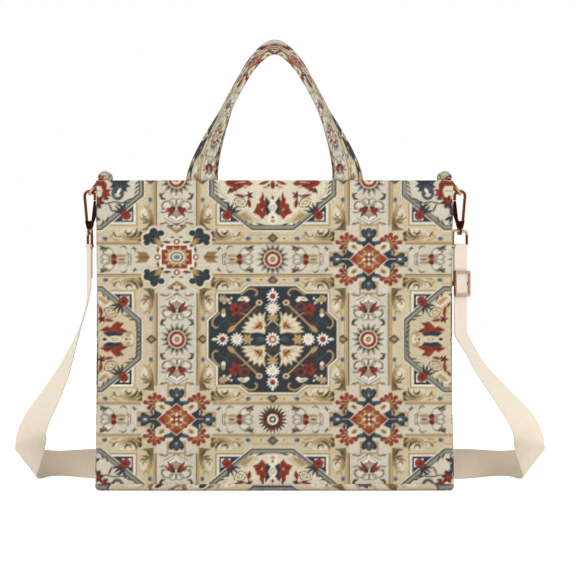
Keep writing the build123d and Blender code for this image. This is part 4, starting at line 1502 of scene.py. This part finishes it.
@dataclass
class Handles:
    """Two soft carrying handles, flat where they are sewn in and turned on edge at the grip.

    Attributes:
        hem, seat_inset: length that is sewn in, and its distance from the outer face.
        meeting_gap: distance between the two grips.
        turn_share, turn_ease: share of the rise over which a handle turns on edge, and how soon.
        print_middle, print_start, print_stretch, print_spread: where and how large the print lies.
        arch: places on half an arch, as shares of half the spacing and of the rise.
    """

    shape: BagShape
    print: RugPrint
    band: Band = field(default_factory=lambda: Band(30.0, 4.6, across=24, crown=0.5, groove=0.35))
    spacing: float = 149.0
    hem: float = 32.0
    front_rise: float = 137.0
    back_rise: float = 148.3
    meeting_gap: float = 36.0
    turn_share: float = 0.55
    turn_ease: float = 0.55
    front_grip_turn: float = 72.0
    back_grip_turn: float = 80.0
    seat_inset: float = 5.0
    step: float = 1.3
    print_middle: float = 45.0
    print_start: float = 223.0
    print_stretch: float = 0.9
    print_spread: float = 2.2
    arch: tuple = ((1.0, 0.0), (0.95, 0.16), (0.72, 0.47), (0.46, 0.755), (0.2, 0.945), (0.0, 1.0))

    def seat(self, z: float) -> float:
        """Finds where a handle lies on the lining.

        Args:
            z: height.

        Returns:
            Distance from the bag's middle to the handle's.
        """
        share = (self.spacing + self.band.width) / self.shape.width
        face = self.shape.half_depth(z) + self.shape.bow(np.array(z)) * (1 - share**2)
        return float(face) - self.seat_inset

    def path(self, front: int, rise: float) -> tuple[Array, Array, Array]:
        """Path of one handle from its left end to its right end.

        Args:
            front: 1 for the handle on the front panel and -1 for the one on the back.
            rise: height of its arch over the mouth.

        Returns:
            Places, directions across and directions along.
        """
        foot = np.array([0.0, -front * self.seat(self.shape.height), self.shape.height])
        hem = np.array([0.0, -front * self.seat(self.shape.height - self.hem), self.shape.height - self.hem])
        lean = unit(np.array([0.0, -front * self.meeting_gap / 2 - foot[1], rise]))
        right = np.array([1.0, 0.0, 0.0])
        face = np.cross(lean, right) * -front
        half = [(-self.spacing / 2 * across, rise * up) for across, up in self.arch]
        nodes = np.array(half + [(-x, y) for x, y in half[-2::-1]])
        knots = run_lengths(nodes)
        at = np.linspace(0, knots[-1], int(knots[-1] / self.step))
        flat = spline(knots, nodes, at, np.array([[0.0, 1.0], [0.0, -1.0]]))
        slope = unit(np.gradient(flat, axis=0))
        share = np.clip(flat[:, 1:] / rise / self.turn_share, 0, 1)
        turn = radians(self.front_grip_turn if front > 0 else self.back_grip_turn) * share**self.turn_ease
        upward = np.array([0.0, 0.0, 1.0]) if front > 0 else lean
        outward = -right * slope[:, 1:] + upward * slope[:, :1]
        normals = face * np.cos(turn) + outward * np.sin(turn)
        arch = foot + right * flat[:, :1] + lean * flat[:, 1:]
        drop = np.linspace(0, 1, int(self.hem / self.step))[:-1, None]
        start = hem - right * self.spacing / 2 + (foot - hem) * drop
        end = (hem + right * self.spacing / 2 + (foot - hem) * drop)[::-1]
        places = np.concatenate([start, arch, end])
        tangents = unit(np.gradient(places, axis=0))
        normals = np.concatenate([np.tile(face, (len(drop), 1)), normals, np.tile(face, (len(drop), 1))])
        return places, np.cross(normals, tangents), tangents

    def build(self, canvas: Material) -> None:
        """Makes and dresses both handles.

        Args:
            canvas: their finish.
        """
        for name, front, rise in (("front_handle", 1, self.front_rise), ("back_handle", -1, self.back_rise)):
            places, widths, tangents = self.path(front, rise)
            grid = self.band.sweep(places, widths, tangents)
            from_end = grid.cloth[..., 1]
            grid.cloth[..., 1] = self.print_start - self.print_stretch * np.minimum(from_end, from_end[-1] - from_end)
            grid.cloth[..., 0] = self.print_middle + self.print_spread * grid.cloth[..., 0]
            piece = grid.build(name + CLOTH, self.print.paint)
            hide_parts(name)
            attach(piece, "bag")
            self.band.width * METRES
            run_lengths(places)[-1] * METRES
            dress(piece, canvas)


@dataclass
class Tabs:
    """Cloth loops at the top of the gussets that hold the rings.

    Attributes:
        inside, outside: distances of a tab's two legs from the bag's middle.
        roll, roll_margin: radius of the cloth rolled up inside, and how far it stays from the tab's edges.
        ring_bar, ring_wire, ring_gap: place and thickness of the ring, and the gap round it.
        print_middle, roll_middle: where the print lies on the tabs and on the rolls.
    """

    shape: BagShape
    print: RugPrint
    band: Band = field(default_factory=lambda: Band(20.0, 2.2, across=14, groove=0.25, groove_inset=2.4))
    inside: float = 171.2
    outside: float = 176.8
    leg: float = 28.0
    rise: float = 11.0
    step: float = 0.9
    roll: float = 4.6
    roll_margin: float = 0.3
    ring_bar: tuple = (177.2, 315.6)
    ring_wire: float = 3.2
    ring_gap: float = 0.2
    print_middle: float = 62.0
    roll_middle: float = 73.0

    def loop(self) -> tuple[float, float, float, float]:
        """Finds the round top of the right tab.

        Returns:
            Its middle, half its span, its radius and the height of its centre.
        """
        middle, half = (self.inside + self.outside) / 2, (self.outside - self.inside) / 2
        radius = (self.rise**2 + half**2) / (2 * self.rise)
        return middle, half, radius, self.shape.height + self.rise - radius

    def path(self) -> Array:
        """Follows the right tab's middle.

        Returns:
            Places from inside the bag over the top to the outside.
        """
        middle, half, radius, centre_z = self.loop()
        start = np.arctan2(self.shape.height - centre_z, -half)
        start = start if start > 0 else start + 2 * pi
        turn = np.linspace(start, pi - start, int(radius * abs(2 * start - pi) / self.step))
        arc = np.stack([middle + radius * np.cos(turn), centre_z + radius * np.sin(turn)], axis=-1)
        drop = np.linspace(self.shape.height - self.leg, self.shape.height, int(self.leg / self.step))[:-1]
        up = np.stack([np.full_like(drop, self.inside), drop], axis=-1)
        down = np.stack([np.full_like(drop, self.outside), drop[::-1]], axis=-1)
        line = np.concatenate([up, arc, down])
        return np.stack([line[:, 0], np.zeros(len(line)), line[:, 1]], axis=-1)

    def build(self, canvas: Material) -> None:
        """Makes and dresses both tabs.

        Args:
            canvas: their finish.
        """
        for name, side in (("right_tab", 1.0), ("left_tab", -1.0)):
            places = self.path() * np.array([side, 1.0, 1.0])
            tangents = unit(np.gradient(places, axis=0))
            widths = np.tile([0.0, 1.0, 0.0], (len(places), 1))
            grid = self.band.sweep(places, widths, tangents)
            grid.cloth[..., 0] += self.print_middle
            piece = grid.build(name + CLOTH, self.print.paint)
            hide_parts(name)
            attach(piece, "bag")
            self.band.width * METRES
            run_lengths(places)[-1] * METRES
            dress(piece, canvas)
            dress(self.stuffing(name, side), canvas)

    def stuffing(self, name: str, side: float) -> Piece:
        """Roll of turned-in cloth that fills a tab beside the ring.

        Args:
            name: of the tab.
            side: 1 on the right and -1 on the left.

        Returns:
            The piece.
        """
        middle, _, _, centre_z = self.loop()
        bar, hole = np.array(self.ring_bar), self.ring_wire / 2 + self.ring_gap
        hub = np.array([middle, centre_z])
        apart = bar - hub
        gap, aim = np.hypot(*apart), np.arctan2(apart[1], apart[0])
        open_by = np.arccos((self.roll**2 + gap**2 - hole**2) / (2 * self.roll * gap))
        shut_by = np.arccos((self.roll**2 - gap**2 - hole**2) / (2 * hole * gap))
        outer = np.linspace(open_by, 2 * pi - open_by, 30) + aim
        inner = np.linspace(2 * pi - shut_by, shut_by, 14) + aim
        rim = hub + self.roll * np.stack([np.cos(outer), np.sin(outer)], axis=-1)
        notch = bar + hole * np.stack([np.cos(inner), np.sin(inner)], axis=-1)
        outline = np.concatenate([rim, notch[1:-1]])[:: int(side)]
        reach = self.band.width / 2 - self.roll_margin
        y = np.linspace(-reach, reach, int(2 * reach / self.step))[:, None]
        x, z = side * outline[None, :, 0], outline[None, :, 1]
        points = np.stack(np.broadcast_arrays(x, y, z), axis=-1)
        cloth = np.stack(np.broadcast_arrays(self.roll_middle + (z - self.shape.height) / 3, y), axis=-1)
        piece = ClothGrid(points, cloth, wrap=True, caps=True).build(name + "_roll", self.print.paint)
        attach(piece, "bag")
        return piece


class StrapPart(Enum):
    """Runs of the shoulder strap, in order from the left loop."""

    LEFT_TOP = "strap_left_top"
    LEFT = "strap_left"
    BACK = "strap_back"
    RIGHT = "strap_right"
    RIGHT_TOP = "strap_right_top"


@dataclass
class Roll:
    """Turn of a strap round a slanting roll, half a turn long.

    Attributes:
        start: middle of the strap where the turn begins.
        entry, leave: directions in which the strap comes and goes.
        radius: of the roll.
        axis, swing, inward: directions along the roll, round it where the turn begins, and from there to its axis.
        slant, steep: shares of the strap's direction along the roll and round it.
        hand: 1 or -1, for the sense of those three directions.
    """

    start: Array
    entry: Array
    leave: Array
    radius: float
    axis: Array = field(init=False)
    swing: Array = field(init=False)
    inward: Array = field(init=False)
    slant: float = field(init=False)
    steep: float = field(init=False)
    hand: float = field(init=False)

    def __post_init__(self) -> None:
        """Works out the roll's directions, and how the strap slants across it."""
        self.axis = unit(self.entry + self.leave)
        self.slant = float(self.entry @ self.axis)
        self.swing = unit(self.entry - self.axis * self.slant)
        self.steep = float(self.entry @ self.swing)
        inward = unit(np.cross(self.entry, self.leave))
        self.inward = inward if inward[1] > 0 else -inward
        self.hand = float(np.sign(np.cross(self.swing, self.inward) @ self.axis))

    def angle(self, run: Array) -> Array:
        """Angle turned at a length round the roll, as a column."""
        return np.clip(run / self.radius, 0, pi)[..., None]

    def place(self, run: Array, along: Array) -> Array:
        """Places on the roll, or on the flat webbing before and after it.

        Args:
            run: lengths round the roll from where it begins.
            along: lengths along its axis.

        Returns:
            Places.
        """
        angle = self.angle(run)
        flat = run[..., None] - angle * self.radius
        out = self.radius * np.sin(angle) + flat * np.cos(angle)
        deep = self.radius * (1 - np.cos(angle))
        return self.start + self.swing * out + self.inward * deep + self.axis * along[..., None]

    def inner(self, run: Array) -> Array:
        """Directions from the webbing to the roll's axis."""
        angle = self.angle(run)
        return self.inward * np.cos(angle) - self.swing * np.sin(angle)

    def across(self, run: Array) -> Array:
        """Finds how the webbing lies at its middle.

        Args:
            run: lengths round the roll from where it begins.

        Returns:
            Directions across the webbing.
        """
        angle = self.angle(run)
        around = self.swing * np.cos(angle) + self.inward * np.sin(angle)
        return self.hand * (self.steep * self.axis - self.slant * around)

    def bend(self, run: Array, across: Array) -> tuple[Array, Array]:
        """Finds how webbing that lies on the roll departs from straight lines across it.

        Args:
            run: lengths along the middle of the webbing from where the turn begins.
            across: distances from its middle.

        Returns:
            Moves of the places, and of the directions to the roll's axis.
        """
        run, across = run[:, None], across[None, :]
        middle = run * self.steep
        around = middle - self.hand * across * self.slant
        laid = self.place(around, run * self.slant + self.hand * across * self.steep)
        straight = self.place(middle, run * self.slant) + self.across(middle) * across[..., None]
        return laid - straight, self.inner(around) - self.inner(middle)


@dataclass
class Strap:
    """Webbing shoulder strap, from the left loop down, behind the bag on its edge and up to the right loop.

    Attributes:
        stem, bar_z: where the bars are that the strap goes round.
        left_tail, right_tail, fit: lengths of the doubled ends, and the gap between their layers.
        slider_wrap, loop_wrap: turns round the bars, in half turns.
        loop_lead: where a doubled end leaves its bar, in radii.
        left_reach, right_reach, set_back: how far the legs spread sideways and backwards.
        left_join, right_join, leg_foot: heights at which the legs are divided and come to rest.
        floor_settle: length of a leg that lies behind its outermost place.
        left_leg, right_leg: places down the legs, as shares of the reach and the drop, and turns in degrees.
    """

    shape: BagShape
    band: Band = field(default_factory=lambda: Band(32.0, 1.3, across=17))
    stem: float = 190.129
    bar_z: float = 245.502
    right_turn: float = 28.0
    left_turn: float = 12.0
    loop_wire: float = 3.0
    fit: float = 0.15
    left_tail: float = 32.0
    right_tail: float = 85.0
    slider_drop: float = 38.0
    centre_bar: float = 2.4
    slider_wrap: float = 1.9
    loop_lead: float = 1.6
    loop_wrap: tuple = (0.83, 0.17)
    left_reach: float = 65.0
    right_reach: float = 75.0
    set_back: float = 30.0
    roll_height: float = 35.0
    roll_radius: float = 12.0
    run_settle: float = 62.0
    run_clearance: float = 6.0
    floor_gap: float = 0.5
    step: float = 1.6
    left_join: float = 185.0
    right_join: float = 140.0
    leg_foot: float = 60.0
    floor_settle: float = 128.0
    run_knots: int = 9
    left_leg: tuple = (
        (0.05, 0.16, 84.0), (0.12, 0.25, 85.0), (0.20, 0.34, 80.0),
        (0.30, 0.43, 72.0), (0.40, 0.52, 63.0), (0.54, 0.62, 53.0),
        (0.68, 0.71, 43.0), (0.83, 0.80, 33.0), (0.95, 0.90, 12.0),
    )
    right_leg: tuple = (
        (0.10, 0.13, 66.0), (0.22, 0.26, 65.0), (0.37, 0.39, 61.0),
        (0.55, 0.52, 52.0), (0.74, 0.66, 40.0), (0.90, 0.79, 24.0),
        (0.97, 0.90, 4.0),
    )
    roll_in: tuple = (0.30, 0.10, -0.95)
    roll_out: tuple = (-0.95, 0.30, 0.0)
    roll_steps: int = 8

    def layer(self) -> float:
        """Distance of each layer of a doubled end from the middle between them."""
        return (self.band.thickness + self.fit) / 2

    def bar(self, side: int) -> Vector:
        """Direction of a loop's bars, from the front end to the back end."""
        turn = radians(self.right_turn if side > 0 else self.left_turn)
        return Vector((side * sin(turn), cos(turn), 0))

    def outward(self, side: int) -> Vector:
        """Direction in which the outer face of a strap's end looks."""
        turn = radians(self.right_turn if side > 0 else self.left_turn)
        return Vector((side * cos(turn), -sin(turn), 0))

    def leg(self, side: int) -> list[tuple[Vector, Vector]]:
        """Places and width directions of one leg and of its turn on the floor, from the top.

        Args:
            side: 1 on the right and -1 on the left.

        Returns:
            Pairs of a place and a direction across the strap.
        """
        tail, reach, shares = (
            (self.right_tail, self.right_reach, self.right_leg)
            if side > 0
            else (self.left_tail, self.left_reach, self.left_leg)
        )
        start = Vector((side * self.stem, 0, self.bar_z - tail)) + self.outward(side) * self.layer()
        drop = start.z - self.roll_height
        roll = self.roll(side)
        places, angles = [start], [0.0]
        for out, fall, angle in shares:
            places.append(start + Vector((side * reach * out, self.set_back * fall, -drop * fall)))
            angles.append(radians(angle))
        places.append(Vector(roll.start))
        stations = [(start, self.bar(side))]
        for number in range(1, len(places) - 1):
            tangent = (places[number + 1] - places[number - 1]).normalized()
            frontal = tangent.cross(Vector((0, 1, 0))).normalized() * side
            deep = frontal.cross(tangent) * side
            stations.append((places[number], frontal * cos(angles[number]) + deep * sin(angles[number])))
        for run in np.linspace(0, pi * self.roll_radius, self.roll_steps + 1):
            place = roll.place(run, run * roll.slant / roll.steep)
            stations.append((Vector(place), Vector(roll.across(run))))
        return stations

    def roll(self, side: int) -> Roll:
        """Places the turn of one leg on the floor.

        Args:
            side: 1 on the right and -1 on the left.

        Returns:
            The turn.
        """
        reach = self.right_reach if side > 0 else self.left_reach
        start = Vector((side * (self.stem + reach), self.set_back, self.roll_height))
        start += self.outward(side) * self.layer()
        entry, leave = (unit(np.array(way) * [side, 1.0, 1.0]) for way in (self.roll_in, self.roll_out))
        return Roll(np.array(start), entry, leave, self.roll_radius)

    def stations(self) -> tuple[Array, Array]:
        """Lists the strap between its sewn ends, from left to right.

        Returns:
            Places and width directions.
        """
        left, right = self.leg(-1), self.leg(1)
        y = self.shape.base_depth / 2 + self.shape.belly + self.run_clearance
        z = self.band.width / 2 + self.floor_gap
        first, last = left[-1][0].x + self.run_settle, right[-1][0].x - self.run_settle
        upright = Vector((0, 0, 1))
        run = [(Vector((x, y, z)), upright) for x in np.linspace(first, last, self.run_knots)]
        lined_up: list[tuple[Vector, Vector]] = []
        for place, width in left + run + right[::-1]:
            if lined_up and width.dot(lined_up[-1][1]) < 0:
                width = -width
            lined_up.append((place, width))
        return np.array([place for place, _ in lined_up]), np.array([width for _, width in lined_up])

    def fold(self, side: int) -> tuple[Array, Array]:
        """Line of a doubled end, from the end of its inner layer over the loop's bar to the outer layer.

        Args:
            side: 1 on the right and -1 on the left.

        Returns:
            Places and width directions.
        """
        out, layer = np.array(self.outward(side)), self.layer()
        radius = self.loop_wire / 2 + self.fit + self.band.thickness / 2
        tail, back = (self.right_tail, self.slider_drop) if side > 0 else (self.left_tail, self.left_tail)
        line: list[tuple[float, float]] = []
        if side > 0:
            wrap = self.centre_bar / 2 + self.fit + self.band.thickness / 2
            depth = -layer - wrap
            line += [(depth + wrap * cos(a), -back + wrap * sin(a)) for a in np.linspace(-self.slider_wrap * pi, 0, 30)]
        lead = -radius * self.loop_lead
        line += [(-layer, z) for z in np.linspace(-back, lead, 14)]
        line += [(radius * cos(a), radius * sin(a)) for a in np.linspace(*(pi * share for share in self.loop_wrap), 12)]
        line += [(layer, z) for z in np.linspace(lead, -tail, 24)]
        flat = np.array(line)
        middle = np.array([side * self.stem, 0.0, self.bar_z])
        places = middle + flat[:, :1] * out + flat[:, 1:] * np.array([0.0, 0.0, 1.0])
        return places, np.tile(np.array(self.bar(side)), (len(places), 1))

    def piece(
        self, part: StrapPart, places: Array, widths: Array, tangents: Array, lengths: Array
    ) -> Piece:
        """Sweeps the webbing along one run.

        Args:
            part: which run.
            places: middle of the webbing.
            widths, tangents: directions across and along it.
            lengths: of the webbing from its left end.

        Returns:
            The piece.
        """
        grid = self.band.sweep(places, widths, tangents)
        grid.cloth[..., 1] += lengths[0]
        if part in (StrapPart.LEFT, StrapPart.RIGHT):
            side = -1 if part is StrapPart.LEFT else 1
            roll, section = self.roll(side), self.band.section()
            near = int(np.argmin(np.linalg.norm(places - roll.start, axis=1)))
            run = -side * (lengths - lengths[near] + (places[near] - roll.start) @ tangents[near])
            across = np.sign(widths[near] @ roll.across(np.zeros(()))) * section[:, 0]
            height = np.sign(np.cross(tangents[near], widths[near]) @ roll.inward) * section[:, 1]
            move, lean = roll.bend(run, across)
            grid.points += move + lean * height[None, :, None]
        piece = grid.build(part.value)
        self.band.width * METRES
        (lengths[-1] - lengths[0]) * METRES
        return piece

    def line(self) -> tuple[Array, Array]:
        """Smooths the strap between its sewn ends.

        Returns:
            Places and width directions.
        """
        places, widths = self.stations()
        knots = run_lengths(places)
        at = np.linspace(0, knots[-1], int(knots[-1] / self.step))
        upright = np.array([[0.0, 0.0, -1.0], [0.0, 0.0, 1.0]])
        return spline(knots, places, at, upright), unit(spline(knots, widths, at, 0 * upright))

    def course(self) -> tuple[Array, Array, dict[StrapPart, slice]]:
        """Joins the sewn ends to the rest of the strap, and divides it into runs.

        Returns:
            Places and width directions of the whole strap, and each run's share of them.
        """
        line, across = self.line()
        (left, left_across), (right, right_across) = self.fold(-1), self.fold(1)
        left_across = left_across * np.sign(left_across[-1] @ across[0])
        right_across = right_across * np.sign(right_across[-1] @ across[-1])
        places = np.concatenate([left[:-1], line, right[-2::-1]])
        widths = np.concatenate([left_across[:-1], across, right_across[-2::-1]])
        x, z = line[:, 0], line[:, 2]
        settle = int(self.floor_settle / self.step)
        left_cut, right_cut = int(np.argmax(z < self.left_join)), int(np.argmax(z[::-1] < self.right_join))
        joins = [left_cut, x.argmin() + settle, x.argmax() - settle, len(z) - 1 - right_cut]
        cuts = [0, *(len(left) - 1 + join for join in joins), len(places) - 1]
        return places, widths, {part: slice(start, stop + 1) for part, start, stop in zip(StrapPart, cuts, cuts[1:])}

    def build(self, webbing: Material) -> None:
        """Makes and dresses every run of the strap, and puts the back run on the bag.

        Args:
            webbing: its finish.
        """
        bends = {
            StrapPart.LEFT_TOP: ("left_loop", "left_clasp", -1, self.bar_z - self.left_tail, self.left_join),
            StrapPart.LEFT: ("left_clasp", "bag", -1, self.left_join, self.leg_foot),
            StrapPart.RIGHT: ("right_clasp", "bag", 1, self.right_join, self.leg_foot),
            StrapPart.RIGHT_TOP: ("right_loop", "right_clasp", 1, self.bar_z - self.right_tail, self.right_join),
        }
        places, widths, runs = self.course()
        tangents, lengths = unit(np.gradient(places, axis=0)), run_lengths(places)
        for part, run in runs.items():
            piece = self.piece(part, places[run], widths[run], tangents[run], lengths[run])
            if part is StrapPart.BACK:
                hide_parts("shoulder_strap")
                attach(piece, "bag")
            else:
                self.bend(piece, *bends[part])
            dress(piece, webbing)

    def bend(self, piece: Piece, upper: str, lower: str, side: int, high: float, low: float) -> None:
        """Bakes a hanging run's transform into its mesh.

        Args:
            piece: the run.
            upper, lower: the bodies at its two ends; not used.
            side: 1 on the right and -1 on the left.
            high, low: heights of its two ends; not used.
        """
        x = side * self.stem * METRES
        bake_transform(piece)


@dataclass
class Hardware:
    """Finishes of the metal fittings and of the board.

    Attributes:
        hook_nodes: nodes of each side that are plated as the hooks are.
    """

    hook_nodes: tuple = ("ring", "hook", "gate", "gate_pin")

    def build(self, hooks: Material, frames: Material, board: Material) -> None:
        """Dresses the nodes that are shown as they are.

        Args:
            hooks: plating of the rings and the hooks.
            frames: plating of the loops and the slider.
            board: finish of the stiffener.
        """
        spring = MetalFinish("spring_steel", (190, 190, 188), (150, 150, 150), 0.3).material()
        for side in ("left_", "right_"):
            for name in self.hook_nodes:
                self.finish(side + name, hooks)
            self.finish(side + "strap_loop", frames)
            self.finish(side + "gate_spring", spring)
        self.finish("strap_slider", frames)
        self.finish("base_board", board)

    def finish(self, name: str, material: Material) -> None:
        """Gives one node its material.

        Args:
            name: of the node.
            material: its finish.
        """
        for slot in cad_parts[name].material_slots:
            slot.material = material
        LOG.info("finished %s", name)


@dataclass
class Studio:
    """Camera, soft light and a white floor.

    Attributes:
        eye, lens, sensor: of the camera.
        world_light: strength of the even light from all round.
        key_power, fill_power: of the soft lamps, in watts.
        aim_height: height of the place that the lamps look at.
        floor_gap: distance of the floor under the bag, so that the two don't share a plane.
        floor_glow: light that the camera sees on the floor over the lit part, so that the floor looks white.
        card_width, card_height, card_distance: a dark card before the bag, which only reflections show.
    """

    eye: Place = (13.5, -2055.0, 203.0)
    lens: float = 125.0
    sensor: float = 36.0
    world_light: float = 0.8
    key_power: float = 22.0
    fill_power: float = 13.0
    key_place: Place = (-1500.0, -2200.0, 1900.0)
    fill_place: Place = (1900.0, -1500.0, 900.0)
    key_size: float = 1400.0
    fill_size: float = 1200.0
    aim_height: float = 150.0
    floor_size: float = 12000.0
    floor_gap: float = 0.2
    floor_glow: float = 0.6
    card_width: float = 4400.0
    card_height: float = 1600.0
    card_distance: float = 900.0

    def camera(self) -> None:
        """Places the camera square to the front."""
        data = bpy.data.cameras.new("camera")
        data.lens, data.sensor_width = self.lens, self.sensor
        camera = bpy.data.objects.new("camera", data)
        camera.location = Vector(self.eye) * METRES
        camera.rotation_euler = (pi / 2, 0.0, 0.0)
        bpy.context.scene.collection.objects.link(camera)
        bpy.context.scene.camera = camera

    def lamp(self, name: str, place: Place, power: float, size: float) -> None:
        """Places a square soft lamp that looks at the middle of the bag.

        Args:
            name: of the lamp.
            place: where it is.
            power: in watts.
            size: its width.
        """
        data = bpy.data.lights.new(name, "AREA")
        data.energy, data.size = power, size * METRES
        lamp = bpy.data.objects.new(name, data)
        lamp.location = Vector(place) * METRES
        aim = Vector((0.0, 0.0, self.aim_height)) * METRES - lamp.location
        lamp.rotation_euler = aim.to_track_quat("-Z", "Y").to_euler()
        bpy.context.scene.collection.objects.link(lamp)

    def world(self) -> None:
        """Even light, which looks white to the camera and in the metal."""
        world = bpy.data.worlds.new("studio")
        world.use_nodes = True
        bpy.context.scene.world = world
        graph = NodeGraph(world.node_tree)
        light, shown = (
            graph.node("ShaderNodeBackground", {}, {"Color": FULL_WHITE, "Strength": strength}).outputs[0]
            for strength in (self.world_light, 1.0)
        )
        graph.node("ShaderNodeOutputWorld", {}, {0: graph.seen(light, shown)})

    def floor(self) -> None:
        """White floor that keeps the bag's shadow."""
        half, drop = self.floor_size / 2, -self.floor_gap
        corners = np.array([[[x, y, drop] for x in (-half, half)] for y in (-half, half)])
        floor = ClothGrid(corners, corners[..., :2]).build("floor")
        tree = FinishTree("studio_floor")
        tree.shade({"Base Color": (0.9, 0.9, 0.9, 1.0), "Roughness": 0.9, "Specular IOR Level": 0.0})
        lit = tree.shader.outputs[0]
        glow = tree.node("ShaderNodeEmission", {}, {"Color": FULL_WHITE, "Strength": self.floor_glow})
        pale = tree.node("ShaderNodeAddShader", {}, {0: lit, 1: glow.outputs[0]})
        tree.feed(tree.output.inputs[0], tree.seen(lit, pale.outputs[0]))
        floor.data.materials.append(tree.material)
        floor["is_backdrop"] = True

    def card(self) -> None:
        """Dark card before the bag, which gives the metal its dark middles."""
        half, y, top = self.card_width / 2, -self.card_distance, self.card_height
        corners = np.array([[[x, y, z] for x in (-half, half)] for z in (0.0, top)])
        card = ClothGrid(corners, corners[..., ::2]).build("card")
        tree = FinishTree("studio_card")
        brown = {"Base Color": (0.05, 0.025, 0.015, 1.0), "Roughness": 1.0, "Specular IOR Level": 0.0}
        card.data.materials.append(tree.shade(brown))
        card.visible_camera = card.visible_diffuse = card.visible_shadow = card.visible_transmission = False
        card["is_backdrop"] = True

    def build(self) -> None:
        """Sets the whole studio up."""
        bpy.context.scene.view_settings.view_transform = "Standard"
        self.camera()
        self.world()
        self.floor()
        self.card()
        self.lamp("key", self.key_place, self.key_power, self.key_size)
        self.lamp("fill", self.fill_place, self.fill_power, self.fill_size)


def main() -> None:
    """Builds the studio and every piece of the bag."""
    logging.basicConfig(level=logging.INFO, format="%(name)s: %(message)s")
    Studio().build()
    shape, pattern = BagShape(), RugPrint()
    canvas = WovenFinish("printed_canvas", grain=0.3).material()
    lining = WovenFinish("lining_cloth", (196, 184, 160), thread=0.8, grain=0.1, mottle=0.06, relief=0.00012).material()
    webbing = WovenFinish("webbing", (246, 232, 213), thread=1.1, grain=0.04, mottle=0.02, relief=0.0002).material()
    hooks = MetalFinish("copper_metal", (204, 152, 116), (164, 110, 78)).material()
    frames = MetalFinish("rose_metal", (206, 170, 138), (166, 126, 96)).material()
    board = BoardFinish("board").material()
    Body(shape, pattern).build(canvas, lining)
    Handles(shape, pattern).build(canvas)
    Tabs(shape, pattern).build(canvas)
    Strap(shape).build(webbing)
    Hardware().build(hooks, frames, board)


if __name__ == "__main__":
    main()
    boxes = {"cad": CAD_BOX, "visual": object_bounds()}
    {name: [[float(part) for part in corner] for corner in box] for name, box in boxes.items()}
